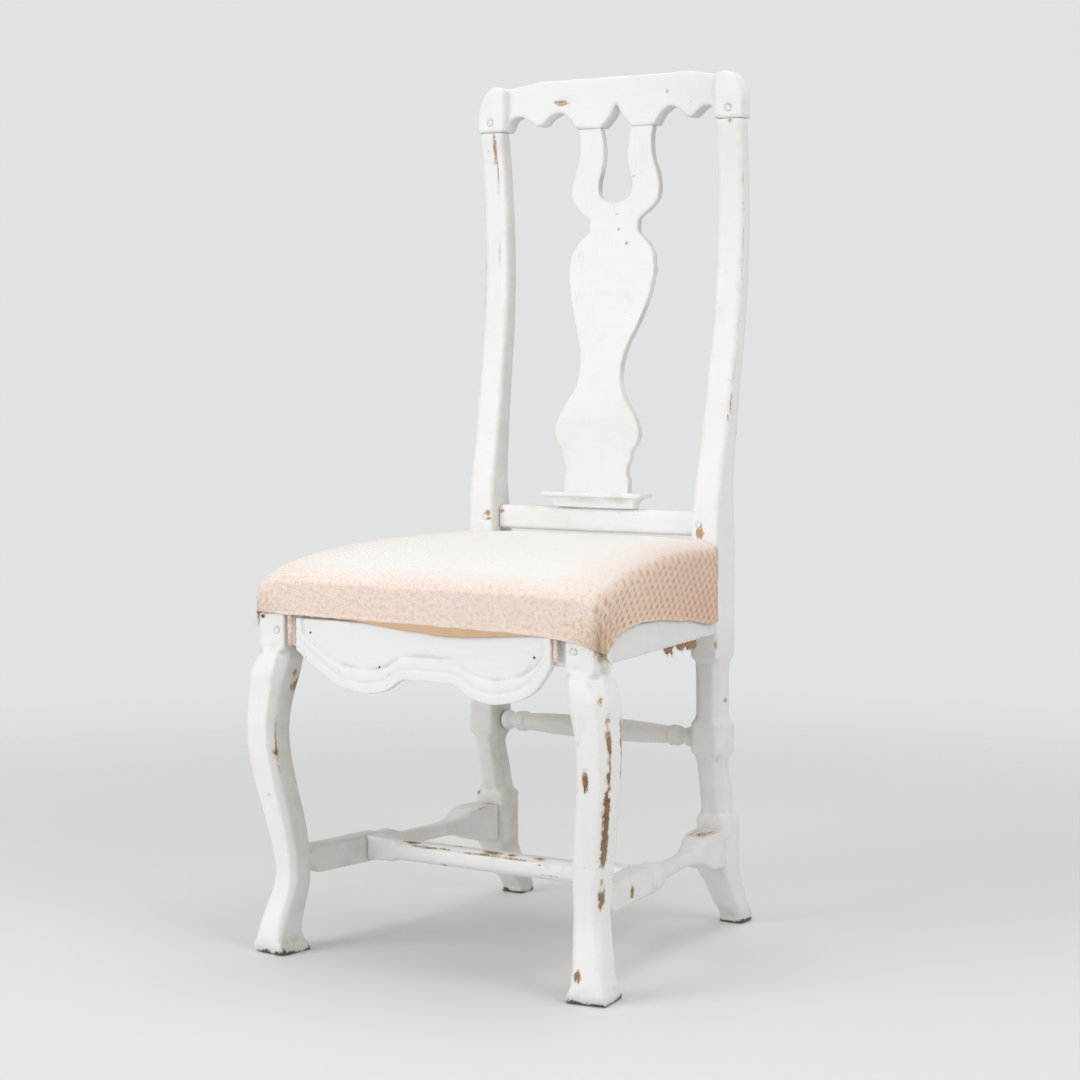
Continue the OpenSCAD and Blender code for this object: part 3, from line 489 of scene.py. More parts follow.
def paint_loss(t, v):
    """Where the wood is bare and where the cream coat shows: marked chips and rare losses along edges."""
    marked = shaken(t, v.chip, v.ragged, 2.2)
    marked = shaken(t, marked, v.strand, 2.8)
    marked = calc(t, "MINIMUM", marked, times(t, v.chip, 4.0))
    worn = times(t, v.edge, step(t, speck(t, v.here, 19, 3), 0.56, 0.72))
    worn = shaken(t, worn, v.ragged, 2.0)
    bare = calc(t, "MAXIMUM", step(t, marked, 0.76, 0.86), step(t, worn, 1.22, 1.30))
    cream = calc(t, "MAXIMUM", step(t, marked, 0.46, 0.60), step(t, worn, 1.06, 1.18))
    return bare, cream


def hairlines(t, v, axis):
    """Long wavy cracks along the grain, only in patches."""
    wave = calc(t, "ABSOLUTE", calc(t, "SUBTRACT", speck(t, place(t, HAIR[axis]), 70, 1.5, 0.4), 0.5))
    return times(t, inverse(t, step(t, wave, 0.0015, 0.006)), step(t, speck(t, v.here, 13, 3), 0.58, 0.68))


def white_coat(t, v, crack):
    """White paint darkened by dirt and painted shade where the piece is hollow, low or turned inwards,
    rubbed along its edges.
    """
    coat = blend(t, step(t, v.broad, 0.42, 0.68), (0.875, 0.878, 0.878), (0.855, 0.85, 0.832))
    coat = tint(t, coat, step(t, v.blot, 0.56, 0.74), 0.22, (0.74, 0.72, 0.67))
    coat = tint(t, coat, step(t, v.brush, 0.5, 0.75), 0.09, (0.70, 0.69, 0.65))
    # Dirt and painted shade: low and rear pieces, faces turned inwards, sawn faces
    darkening_strength = calc(t, "MULTIPLY_ADD", step(t, v.blot, 0.3, 0.7), 0.25, 0.36)
    coat = tint(t, coat, v.dull, darkening_strength, (0.56, 0.545, 0.49))
    rubbed = times(t, v.edge, step(t, speck(t, v.here, 45, 4), 0.50, 0.68))
    coat = tint(t, coat, rubbed, 0.28, (0.74, 0.66, 0.58))
    # Dirt and painted shade gathered in the hollows and the apron's grooves
    hollow_grime_and_shade = times(t, v.hollow, calc(t, "ADD", 0.15, step(t, v.blot, 0.38, 0.68)))
    coat = tint(t, coat, hollow_grime_and_shade, 0.42, (0.50, 0.475, 0.41))
    stain = step(t, shaken(t, v.chip, v.blot, 0.8), 0.15, 0.60)
    coat = tint(t, coat, stain, 0.5, (0.80, 0.66, 0.52))
    fly = step(t, speck(t, v.here, 120, 2, 0.4), 0.76, 0.79)
    coat = tint(t, coat, fly, 0.4, (0.42, 0.36, 0.29))
    return tint(t, coat, crack, 0.45, (0.45, 0.42, 0.37))


def bare_wood(t, v):
    """Timber under the paint: orange on the back, brown on the legs, greyer near the floor."""
    timber = blend(t, step(t, v.strand, 0.35, 0.7), (0.17, 0.075, 0.04), (0.38, 0.20, 0.11))
    timber = blend(t, step(t, v.blot, 0.5, 0.7), timber, (0.13, 0.08, 0.055))
    timber = tint(t, timber, step(t, v.height, 0.28, 0.36), 0.75, (0.62, 0.39, 0.22))
    return tint(t, timber, inverse(t, step(t, v.height, 0.16, 0.24)), 0.6, (0.33, 0.25, 0.16))


def knocked_feet(t, v, color):
    """Paint knocked off the very bottom of the feet, and dirt above it."""
    ground = shaken(t, v.height, v.blot, -0.030)
    ground = shaken(t, ground, v.ragged, -0.012)
    color = tint(t, color, inverse(t, step(t, ground, 0.002, 0.022)), 0.30, (0.42, 0.35, 0.27))
    return tint(t, color, inverse(t, step(t, ground, 0.0025, 0.0045)), 0.92, (0.055, 0.040, 0.030))


def peeling_paint(axis):
    """Thick brushed white paint over cream paint over brown wood, chipped and rubbed in places."""
    mat, t = shader("peeling_paint_" + axis)
    v = paint_values(t, axis)
    bare, cream = paint_loss(t, v)
    crack = hairlines(t, v, axis)
    cream_coat = blend(t, v.fine, (0.60, 0.47, 0.36), (0.74, 0.62, 0.48))
    color = blend(t, bare, blend(t, cream, white_coat(t, v, crack), cream_coat), bare_wood(t, v))
    color = knocked_feet(t, v, color)
    # Relief: brush marks, paint thickness at the chips, cracks
    high = piled(t, (v.brush, 0.26), (v.fine, 0.10), (v.blot, 0.35),
                 (cream, -0.35), (bare, -0.55), (crack, -0.25))
    rough = calc(t, "MULTIPLY_ADD", v.blot, 0.20, 0.36)
    rough = calc(t, "MULTIPLY_ADD", cream, 0.30, rough, clamp=True)
    finish_surface(t, color, rough, high, 0.0006, Specular_IOR_Level=0.4)
    return mat


# ---------------------------------------------------------------- cloth: looks
def thread_weave(tree, where, pitch_x, pitch_y):
    """Height of an over-and-under weave with those pitches in metres."""
    split = put(tree, "SeparateXYZ", {"Vector": where})
    wave_a = calc(tree, "SINE", calc(tree, "MULTIPLY", split.outputs["X"], math.pi / pitch_x))
    wave_b = calc(tree, "SINE", calc(tree, "MULTIPLY", split.outputs["Y"], math.pi / pitch_y))
    return calc(tree, "MULTIPLY_ADD", calc(tree, "MULTIPLY", wave_a, wave_b), 0.5, 0.5)


def front_cloth(t, slub, mottle, dots):
    """Close weave with pinkish and greyish mottling."""
    color = blend(t, step(t, slub, 0.35, 0.7), (0.905, 0.72, 0.615), (0.935, 0.81, 0.73))
    color = tint(t, color, step(t, mottle, 0.47, 0.64), 0.72, (0.72, 0.55, 0.46))
    return tint(t, color, step(t, dots, 0.54, 0.70), 0.45, (0.78, 0.56, 0.46))


def side_cloth(t, here, ribs, slits, mottle, dots):
    """Ribs with staggered dark openings and pale knots, browner towards the back."""
    back = step(t, put(t, "SeparateXYZ", {"Vector": here}).outputs["Y"], -0.20, 0.12)
    thin = blend(t, back, (0.80, 0.55, 0.39), (0.70, 0.42, 0.29))
    thick = blend(t, back, (0.95, 0.73, 0.57), (0.87, 0.58, 0.43))
    color = blend(t, step(t, ribs, 0.25, 0.8), thin, thick)
    gaps = times(t, step(t, slits, 0.60, 0.90), step(t, mottle, 0.32, 0.52))
    knots = times(t, inverse(t, step(t, slits, 0.10, 0.34)), step(t, dots, 0.40, 0.56))
    color = tint(t, color, knots, 0.50, (0.94, 0.80, 0.69))
    return tint(t, color, gaps, 0.70, (0.40, 0.235, 0.155))


def seat_cloth():
    """Peach furnishing cloth: bleached on top, mottled in front, open and darker on the sides."""
    mat, t = shader("seat_cloth")
    here = place(t)
    thread = put(t, "Attribute", attribute_name="thread").outputs["Vector"]
    jitter = put(t, "TexNoise", {"Vector": thread, "Scale": 150.0, "Detail": 2.0}).outputs["Color"]
    moved = put(t, "VectorMath", {0: jitter, "Scale": 0.0060}, operation="SCALE").outputs[0]
    bent = put(t, "VectorMath", {0: thread, 1: moved}, operation="ADD").outputs[0]
    fine = thread_weave(t, bent, 0.0017, 0.0017)
    ribs = thread_weave(t, bent, 0.0042, 0.0023)
    skew = put(t, "SeparateXYZ", {"Vector": bent})
    slant = calc(t, "MULTIPLY_ADD", skew.outputs["X"], 0.35, skew.outputs["Y"])
    slanted = put(t, "CombineXYZ", {"X": skew.outputs["X"], "Y": slant}).outputs[0]
    slits = thread_weave(t, slanted, 0.0078, 0.0098)
    bleached, open_side, wear, lip, tan = (attribute(t, k) for k in ("fade", "coarse", "wear", "lip", "tan"))
    along = put(t, "Mapping", {"Vector": thread, "Scale": (1, 8, 8)}).outputs[0]
    slub = speck(t, along, 60, 4, 0.65)
    dots = speck(t, thread, 300, 3, 0.6)
    mottle = speck(t, thread, 175, 4, 0.7)
    blot = speck(t, here, 28, 5, 0.6)

    front = front_cloth(t, slub, mottle, dots)
    side = blend(t, open_side, front, side_cloth(t, here, ribs, slits, mottle, dots))
    side = tint(t, side, times(t, tan, step(t, mottle, 0.36, 0.62)), 0.75, (0.62, 0.42, 0.23))
    top = blend(t, step(t, slub, 0.4, 0.75), (0.915, 0.885, 0.845), (0.93, 0.91, 0.88))
    color = blend(t, bleached, side, top)
    color = tint(t, color, step(t, blot, 0.56, 0.76), 0.10, (0.80, 0.66, 0.54))
    # Painted highlight along the rolled hem
    color = tint(t, color, lip, 0.65, (0.94, 0.82, 0.73))
    # Wear, and painted shade in the creases behind the front corners
    color = tint(t, color, wear, 0.8, (0.36, 0.20, 0.11))
    high = blend_value(t, open_side, times(t, fine, 0.35), piled(t, (slits, -1.5), (ribs, 0.45)))
    high = piled(t, (high, 1.0), (slub, 0.5), (dots, 0.25))
    finish_surface(t, color, 0.92, high, 0.0011, Sheen_Weight=0.2, Specular_IOR_Level=0.12)
    return mat


def blend_value(tree, share, a, b):
    return put(tree, "Mix", {0: share, 2: a, 3: b}, data_type="FLOAT").outputs[0]


def plain_cloth(name, dark, light, pitch, depth):
    """Dusty open weave in two tones."""
    mat, t = shader(name)
    here = place(t)
    split = put(t, "SeparateXYZ", {"Vector": here})
    down = calc(t, "ADD", split.outputs["Y"], split.outputs["Z"])
    flat = put(t, "CombineXYZ", {"X": split.outputs["X"], "Y": down}).outputs[0]
    weave = thread_weave(t, flat, pitch, pitch)
    blot = speck(t, here, 45, 5, 0.6)
    fuzz = speck(t, here, 600, 4, 0.7)
    color = blend(t, step(t, weave, 0.2, 0.8), dark, light)
    color = tint(t, color, step(t, blot, 0.45, 0.7), 0.5, dark)
    color = tint(t, color, fuzz, 0.35, light)
    high = calc(t, "ADD", weave, times(t, fuzz, 0.6))
    finish_surface(t, color, 0.95, high, depth, Sheen_Weight=0.2, Specular_IOR_Level=0.1)
    return mat


def rusty_iron():
    mat, t = shader("rusty_iron")
    here = place(t)
    blot = speck(t, here, 500, 5, 0.7)
    color = blend(t, step(t, blot, 0.4, 0.65), (0.055, 0.035, 0.028), (0.26, 0.10, 0.045))
    finish_surface(t, color, 0.8, blot, 0.0004, Metallic=0.25)
    return mat


def peg_end():
    """End grain rubbed through its paint."""
    mat, t = shader("peg_end")
    here = place(t)
    blot, fine = speck(t, here, 130, 4), speck(t, here, 700, 4)
    color = blend(t, step(t, blot, 0.54, 0.66), (0.86, 0.855, 0.84), (0.62, 0.47, 0.34))
    color = tint(t, color, fine, 0.22, (0.66, 0.58, 0.48))
    finish_surface(t, color, 0.7, calc(t, "ADD", fine, blot), 0.0004)
    return mat


# ---------------------------------------------------------------- the seat: padding
COVER_LOW, COVER_HIGH = box("seat_cover")


def plan_sizes():
    """Places of the corners in the cover's plan, read from the CAD cover."""
    hem = positions(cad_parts["seat_cover"].data)
    hem = hem[hem[:, 2] < COVER_LOW[2] + 2 * MM]
    before_post = hem[hem[:, 1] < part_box("right_back_post")[0][1]]
    block_y = before_post[before_post[:, 0] > COVER_HIGH[0] - 1 * MM, 1].max()
    notch_y = before_post[:, 1].max()
    notch_x = before_post[before_post[:, 1] > notch_y - 1 * MM, 0].max()
    inner_x = hem[hem[:, 1] > notch_y + 5 * MM, 0].max()
    return block_y, notch_x, notch_y, inner_x


# Where the leg block ends, the notch for the back post, and the cover's half width between the posts
BLOCK_Y, NOTCH_X, NOTCH_Y, INNER_X = plan_sizes()

# How far the upper side drops, in mm, at each distance in mm from the front, the side and the back
FRONT_DROP = [0, 3, 8, 15, 30, 60, 100, 150, 210, 270], [46, 41, 37, 33, 27, 19, 11.5, 6, 2, 0]
SIDE_DROP = [0, 2, 5, 10, 20, 36], [20, 14, 9.5, 5.5, 2, 0]
BACK_DROP = [0, 3, 8, 15, 30, 60], [22, 15, 9, 5, 2, 0]


def half_width(y):
    """Half the seat's width at that distance back: even along the leg block, then narrowing."""
    return COVER_HIGH[0] + (NOTCH_X - COVER_HIGH[0]) / (NOTCH_Y - BLOCK_Y) * np.clip(y - BLOCK_Y, 0, None)


def seat_top(x, y):
    """Height of the cover's upper side: high at the back, sloping to the front, rolled at the sides."""
    away = (y - COVER_LOW[1], half_width(y) - np.abs(x), COVER_HIGH[1] - y)
    front, side, back = (np.clip(v / MM, 0, None) for v in away)
    ends = 0.15 + 0.85 * unit(np.abs(x) / 0.15) ** 4
    drop = np.interp(front, *FRONT_DROP) + np.interp(side, *SIDE_DROP) + ends * np.interp(back, *BACK_DROP)
    return COVER_HIGH[2] + 1.5 * MM - drop * MM


SWELL_FRAMES, SWELL_PRESSURE, SWELL_LIMIT = 20, 4.0, 5 * MM


def swollen(obj, start, underside):
    """The pad's points after a short cloth simulation that blows it up from its held underside."""
    pin = obj.vertex_groups.new(name="pin")
    pin.add([int(i) for i in np.flatnonzero(start[:, 2] < underside + 6 * MM)], 1.0, "REPLACE")
    s = obj.modifiers.new("cloth", "CLOTH").settings
    s.quality, s.mass, s.use_pressure, s.uniform_pressure_force = 5, 0.3, True, SWELL_PRESSURE
    s.effector_weights.gravity = 0
    s.vertex_group_mass = "pin"
    for k in range(SWELL_FRAMES):
        bpy.context.scene.frame_set(k + 1)
    applied(obj)
    bpy.context.scene.frame_set(1)
    shift = positions(obj.data) - start
    size = np.linalg.norm(shift, axis=1)
    return start + shift * np.minimum(1, SWELL_LIMIT / np.maximum(size, 1e-9))[:, None]


def seat_pad():
    """Padding made from the CAD stuffing, kept just under the cover."""
    obj = copy_of("seat_padding", ["seat_stuffing"])
    remeshed(obj, 6 * MM, 2)
    mesh = obj.data
    co, n = positions(mesh), normals(mesh)
    low, high = box("seat_stuffing")
    under_cloth = 3.2 * MM
    start = co - n * 3.5 * MM
    start[:, 2] = np.minimum(start[:, 2], seat_top(start[:, 0], start[:, 1]) - 5 * MM)
    start[:, 2] = np.maximum(start[:, 2], low[2] + 0.3 * MM)
    move(mesh, start)
    start = swollen(obj, start, low[2])
    mesh = obj.data
    co = np.clip(start, low + [2 * MM, 2 * MM, 0], high - [2 * MM, 2 * MM, 0])
    co += normals(mesh) * (0.8 * MM * noise(co, 0.05, 21))[:, None]
    ceiling = np.maximum(low[2] + 1 * MM, seat_top(co[:, 0], co[:, 1]) - under_cloth)
    co[:, 2] = np.clip(co[:, 2], low[2], ceiling)
    move(mesh, co)
    dressed(obj, plain_cloth("stuffing_fibre", (0.30, 0.23, 0.14), (0.62, 0.53, 0.38), 0.006, 0.002))
    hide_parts("seat_stuffing")
    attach(obj, "root")


# ---------------------------------------------------------------- the seat: cover
def seat_outline():
    """Plan of the cover as (x, y) corners and how round each is in mm."""
    right = [((COVER_HIGH[0], COVER_LOW[1]), 9), ((COVER_HIGH[0], BLOCK_Y), 12), ((NOTCH_X, NOTCH_Y), 7),
             ((INNER_X, NOTCH_Y), 2), ((INNER_X, COVER_HIGH[1]), 5)]
    left = [((-x, y), r) for (x, y), r in reversed(right)]
    return right + left


def rounded_loop(corners, pitch):
    """Even points round the outline, with each corner turned by an arc of its radius in mm."""
    points = []
    count = len(corners)
    for k in range(count):
        p = np.array(corners[k][0])
        before = np.array(corners[k - 1][0]) - p
        after = np.array(corners[(k + 1) % count][0]) - p
        r = corners[k][1] * MM
        a, b = p + before / np.linalg.norm(before) * r, p + after / np.linalg.norm(after) * r
        for s in np.linspace(0, 1, 9):
            points.append((1 - s) ** 2 * a + 2 * s * (1 - s) * p + s * s * b)
    points = np.array(points)
    closed = np.vstack([points, points[:1]])
    run = np.concatenate([[0], np.cumsum(np.linalg.norm(np.diff(closed, axis=0), axis=1))])
    number = int(round(run[-1] / pitch))
    at = np.linspace(0, run[-1], number, endpoint=False)
    loop = np.stack([np.interp(at, run, closed[:, k]) for k in range(2)], 1)
    ahead = np.roll(loop, -1, 0) - np.roll(loop, 1, 0)
    out = np.stack([ahead[:, 1], -ahead[:, 0]], 1)
    out /= np.linalg.norm(out, axis=1)[:, None]
    if ((loop - loop.mean(0)) * out).sum() < 0:
        out = -out
    return loop, out, at


# Height of the hem against the top of the seat rails, in mm: across the front from the sitter's
# right, and along each side from the front corner back
FRONT_HEM = ([-1, -0.97, -0.88, -0.75, -0.3, 0, 0.3, 0.5, 0.75, 0.88, 0.95, 1],
             [-3, -1, -2.5, -3.5, -4, -5, -6.5, -7.5, -10, -14, -17, -21])
SIDE_HEM = ([0, 0.05, 0.09, 0.12, 0.17, 0.24, 0.31, 0.38, 0.46, 0.63, 0.72, 0.81, 0.92, 1],
            [-22, -27, -19, -12, -6, -2, 0, -0.5, -2, -9, -13, -18, -25, -22])


def hem_height(loop, rail_top):
    """Height of the hem round the seat: low at the corners, arched up along the sides."""
    x, y = loop[:, 0], loop[:, 1]
    back = y - COVER_LOW[1]
    front = unit((COVER_LOW[1] + 6 * MM - y) / (5 * MM))
    z_front = np.interp(x / COVER_HIGH[0], *FRONT_HEM)
    z_side = np.interp(back / (NOTCH_Y - COVER_LOW[1]), *SIDE_HEM)
    left = unit(-x / 0.05) * unit(1 - back / 0.08)
    z_side = z_side * (1 - left) + np.minimum(z_side + 18, -2) * left
    z_side = np.where(y > NOTCH_Y + 1 * MM, -12, z_side)
    p = np.column_stack([x, y, np.zeros(len(x))])
    rough = 0.7 * noise(p, 0.010, 31) + 0.6 * noise(p, 0.05, 32)
    return rail_top + (front * z_front + (1 - front) * z_side + rough) * MM


# Distance in mm of each crease from the front, behind the front corners
CREASES = (8, 19, 31, 47, 66)


def cover_places(co, top_rows, side_rows, loop, out, run, drop):
    """Where each point of the cover is: round the outline, down the side, and in which crease."""
    which = np.arange(len(co)) % len(loop)
    fall = unit((np.arange(len(co)) // len(loop) - top_rows + 1) / side_rows)
    which[-1], fall[-1] = 0, 0
    plan, drop = loop[which], drop[which]
    behind = (plan[:, 1] - COVER_LOW[1]) / MM
    beside = unit((np.abs(plan[:, 0]) - COVER_HIGH[0] + 30 * MM) / (20 * MM))
    sway = 2.0 * noise(co, 0.02, 41)
    crease = sum(np.exp(-(((behind + sway - c) / 2.0) ** 2)) for c in CREASES) * beside
    crease *= unit(fall * 3.2 - 0.25) * unit(1.2 - behind / 70)
    lip = np.exp(-(((1 - fall) * drop / MM - 1.5) / 1.6) ** 2) * (fall > 0)
    outward = np.column_stack([out[which], np.zeros(len(co))])
    return SimpleNamespace(plan=plan, outward=outward, run=run[which], over=fall * drop, fall=fall,
                           lip=lip, behind=behind, beside=beside, crease=crease)


def draped(co, v):
    """The cover's points with creases, pulls down the sides, slack on top and a rolled hem."""
    pull = noise(np.column_stack([v.run, v.run * 0, v.fall * 0.02]), 0.028, 42) * unit(v.fall * 2)
    bulge = v.beside * unit(1.4 - v.behind / 45) * unit(v.fall * 2.5)
    co = co + v.outward * ((0.8 * pull + 1.6 * v.lip + 2.6 * bulge - 2.4 * v.crease) * MM)[:, None]
    lay = 1 - unit(v.fall * 4)
    co[:, 2] += lay * (1.1 * noise(co, 0.11, 43) + 0.4 * noise(co, 0.035, 44)) * MM
    room = 3 * MM
    co[:, 2] = np.minimum(co[:, 2], COVER_HIGH[2] + 2 * MM)
    co[:, :2] = np.clip(co[:, :2], COVER_LOW[:2] - room, COVER_HIGH[:2] + room)
    return co


def mark_cover(mesh, co, v):
    """Marks for the cloth's looks: thread directions, bleached top, coarse sides, painted highlight on the
    rolled hem, stains, wear with painted shade in the creases.
    """
    mark_vector(mesh, "thread", co * [1, 1, 0] + v.outward * v.over[:, None])
    n = normals(mesh)
    up = unit((n[:, 2] - 0.30) / 0.55)
    patch = 9 * noise(co, 0.03, 48) + 5 * noise(co, 0.008, 49)
    from_front = unit(((co[:, 1] - COVER_LOW[1]) / MM + 2 + patch) / 46)
    from_side = unit(((half_width(co[:, 1]) - np.abs(co[:, 0])) / MM + 2 + patch) / 88)
    bleach = (from_front * from_side) ** 0.8
    mark(mesh, "fade", bleach * (0.25 + 0.75 * up) + 0.16 * (1 - bleach) * (1 - v.fall))
    mark(mesh, "coarse", unit((np.abs(n[:, 0]) - 0.45) / 0.4) * (1 - up * 0.8))
    # Painted highlight along the rolled hem, less on the sides near the front corners
    mark(mesh, "lip", v.lip * (1 - v.beside * unit(1 - v.behind / 40)))
    frayed = np.exp(-(((v.plan[:, 1] - NOTCH_Y) / (6 * MM)) ** 2)) * (np.abs(v.plan[:, 0]) > 0.15)
    frayed *= v.fall ** 0.3 * unit(noise(co, 0.007, 46) * 2)
    rim = (v.fall > 0.97) * unit(noise(co, 0.006, 45))
    turn = np.hypot(np.abs(v.plan[:, 0]) - COVER_HIGH[0], v.plan[:, 1] - COVER_LOW[1]) / MM
    mark(mesh, "tan", np.exp(-(turn / 34) ** 2) * unit(v.fall * 2.4 - 0.5))
    # Frays and a worn rim, with painted shade in the creases
    mark(mesh, "wear", unit(0.7 * v.crease + 0.5 * rim + frayed))


def seat_cover():
    """Cover cloth pulled over the padding, creased behind the front corners, with a torn hem."""
    loop, out, run = rounded_loop(seat_outline(), 3.0 * MM)
    count = len(loop)
    centre = np.array([0.0, (COVER_LOW[1] + COVER_HIGH[1]) / 2])
    shares = np.concatenate([np.linspace(0.03, 0.86, 36), np.linspace(0.873, 0.994, 16), [1.0]])
    rows = [np.column_stack([flat, seat_top(flat[:, 0], flat[:, 1])])
            for flat in (centre + (loop - centre) * s for s in shares)]
    shoulder = rows[-1][:, 2]
    hem = hem_height(loop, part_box("right_seat_rail")[1][2])
    top_rows = len(rows)
    falls = np.linspace(0, 1, 28)[1:]
    rows += [np.column_stack([loop, shoulder + (hem - shoulder) * s]) for s in falls]
    points = np.concatenate(rows + [np.append(centre, COVER_HIGH[2] + 1.5 * MM)[None]])
    obj = made("seat_cover_cloth", points, fan_faces(len(rows), count))
    if obj.data.vertices[len(points) - 1].normal.z < 0:
        obj.data.flip_normals()
    soft = obj.modifiers.new("soft", "SMOOTH")
    soft.factor, soft.iterations = 0.5, 5
    applied(obj)
    # Only the top and the shoulder stay softened: the sides and the hem keep their own line
    co = positions(obj.data)
    lower = unit((np.arange(len(co)) // count - top_rows - 4) / 6)[:, None]
    lower[-1] = 0
    co = co * (1 - lower) + points * lower
    v = cover_places(co, top_rows, len(falls), loop, out, run, shoulder - hem)
    co = draped(co, v)
    move(obj.data, co)
    mark_cover(obj.data, co, v)
    smooth_shaded(thickened(obj, 1.2 * MM, -1))
    return obj, loop, out, hem


def strands(name, roots, headings, lengths, radius, seed):
    """Loose threads: thin tubes that curl from each root along its heading and sag."""
    rng = np.random.default_rng(seed)
    points, faces = [], []
    sides, steps = 4, 6
    for root, heading, length in zip(roots, headings, lengths):
        p, d = np.array(root, float), np.array(heading, float)
        d /= np.linalg.norm(d)
        base = len(points)
        for k in range(steps):
            across = np.cross(d, (0.3, 0.5, 0.81))
            across /= np.linalg.norm(across)
            other = np.cross(d, across)
            r = radius * (1 - 0.5 * k / (steps - 1))
            for s in range(sides):
                a = 2 * math.pi * s / sides
                points.append(p + r * (math.cos(a) * across + math.sin(a) * other))
            p = p + d * length / (steps - 1)
            d = d + rng.normal(0, 0.28, 3) + np.array((0, 0, -0.10))
            d /= np.linalg.norm(d)
        faces += tube_faces(base, steps, sides)
    obj = made(name, points, faces)
    smooth_shaded(obj)
    return obj


def hem_threads(loop, out, hem):
    """Frayed threads along the cover's hem, thick at the front corners and by the back posts."""
    rng = np.random.default_rng(51)
    low, high = COVER_LOW, COVER_HIGH
    roots, headings, lengths = [], [], []
    for (x, y), (out_x, out_y), z in zip(loop, out, hem):
        corner = math.exp(-(((abs(x) - high[0]) / 0.02) ** 2)) * math.exp(-(((y - low[1]) / 0.035) ** 2))
        back = math.exp(-(((y - NOTCH_Y) / 0.010) ** 2)) * (abs(x) > 0.16)
        often = 0.10 + 1.0 * corner + 0.85 * back
        while rng.random() < often:
            often -= 1
            slide = rng.normal(0, 1.2 * MM) * (back < 0.4)
            up = rng.uniform(0, 60 * MM) * (back > 0.4)
            roots.append((x - 0.2 * MM * out_x + slide, y - 0.2 * MM * out_y, z + 0.8 * MM + up))
            headings.append((out_x * 0.3 + rng.normal(0, 0.45), out_y * 0.3 + rng.normal(0, 0.45), -1))
            lengths.append(rng.uniform(1.5, 3.5 + 8 * corner + 2 * back) * MM)
    for side in (-1, 1):
        for _ in range(60):
            y = low[1] + rng.uniform(2, 24) * MM
            near = int(np.argmin(np.hypot(loop[:, 0] - side * high[0], loop[:, 1] - y)))
            roots.append((side * (high[0] - rng.uniform(0.2, 1.4) * MM), y, hem[near] + 1.5 * MM))
            headings.append((side * 0.05 + rng.normal(0, 0.12), rng.normal(0, 0.3), -1))
            lengths.append(rng.uniform(6, 19) * MM)
    return strands("hem_threads", roots, headings, lengths, 0.30 * MM, 52)


# ---------------------------------------------------------------- other cloth
def strip(name, centre_line, width_line, rows, thick):
    """Cloth band: for each station a start and an end point, joined by rows of faces."""
    points = [np.array(a) + (np.array(b) - np.array(a)) * r / (rows - 1)
              for a, b in zip(centre_line, width_line) for r in range(rows)]
    faces = [[c * rows + r, (c + 1) * rows + r, (c + 1) * rows + r + 1, c * rows + r + 1]
             for c in range(len(centre_line) - 1) for r in range(rows - 1)]
    return thickened(made(name, points, faces), thick, 0)


# Where the old cover shows, from the sitter's right to left; and each narrow cloth end: its side,
# name, inner and outer distance from the middle, and height of its foot in mm
STRIP_ENDS = -0.125, 0.158
TABS = (-1, "left_cloth_tab", 0.1955, 0.2018, 3), (1, "right_cloth_tab", 0.1900, 0.1972, 9)


def old_cover_strip():
    """Older orange cloth that sags in a lens shape from under the newer cover's front hem."""
    top_of_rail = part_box("under_cover")[1][2]
    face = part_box("front_apron")[0][1]
    xs = np.linspace(*STRIP_ENDS, 150)
    line = np.column_stack([xs, xs * 0, xs * 0])
    wave, fold = noise(line, 0.03, 61), noise(line, 0.011, 62)
    share = (xs - xs[0]) / (xs[-1] - xs[0])
    hang = np.sin(np.pi * share ** 1.25) ** 1.3
    hem = top_of_rail + np.interp(xs / COVER_HIGH[0], *FRONT_HEM) * MM
    top = [(x, face - 0.8 * MM, z + 3.0 * MM) for x, z in zip(xs, hem)]
    bottom = [(x, face - (1.0 + 0.8 * h + 0.3 * f) * MM, z - (0.2 + 9.5 * h + 0.7 * w * h) * MM)
              for x, z, h, w, f in zip(xs, hem, hang, wave, fold)]
    obj = strip("old_cover_strip", top, bottom, 11, 1.0 * MM)
    mesh = obj.data
    co = positions(mesh)
    gather = np.where(co[:, 2] < top_of_rail - 6 * MM, 1.0, 0.5)
    co[:, 1] -= 0.6 * np.abs(noise(co * np.array([1, 1, 3.0]), 0.010, 63)) * gather * MM
    move(mesh, co)
    dressed(obj, plain_cloth("old_cover_cloth", (0.62, 0.37, 0.20), (0.86, 0.62, 0.40), 0.0017, 0.0007))
    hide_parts("under_cover")
    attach(obj, "root")


def side_tabs(cloth):
    """Two narrow folded ends of cloth in the gaps beside the apron."""
    low, high = box("cover_tabs")
    for side, name, near, far, foot in TABS:
        zs = np.linspace(high[2] - 1 * MM, low[2] + foot * MM, 40)
        line = np.column_stack([zs * 0 + side, zs * 0, zs])
        w = 2 * noise(line, 0.012, 71 + side)
        a = [(side * near, low[1] - (4.4 + 0.5 * k) * MM, z) for k, z in zip(w, zs)]
        b = [(side * (far - 0.6 * abs(k) * MM), low[1] - (6.6 + 0.5 * k) * MM, z) for k, z in zip(w, zs)]
        obj = strip(name, a, b, 5, 1.4 * MM)
        co = positions(obj.data)
        mark_vector(obj.data, "thread", co[:, [0, 2, 1]])
        # The tabs get a faint painted highlight
        for key, value in (("fade", 0.1), ("coarse", 0.0), ("lip", 0.1), ("tan", 0.9)):
            mark(obj.data, key, np.full(len(co), value))
        mark(obj.data, "wear", unit(1 - (co[:, 2] - low[2]) / (9 * MM)))
        dressed(obj, cloth)
        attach(obj, "root")
    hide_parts("cover_tabs")


# How far down the rag hangs, as a share of its full drop, from front to back
TORN_EDGE = ([0, 0.06, 0.16, 0.27, 0.33, 0.42, 0.50, 0.56, 0.72, 0.86, 0.94, 1],
             [0.1, 0.75, 1.0, 0.8, 0.45, 0.35, 0.85, 0.8, 0.75, 0.9, 1.0, 0.8])


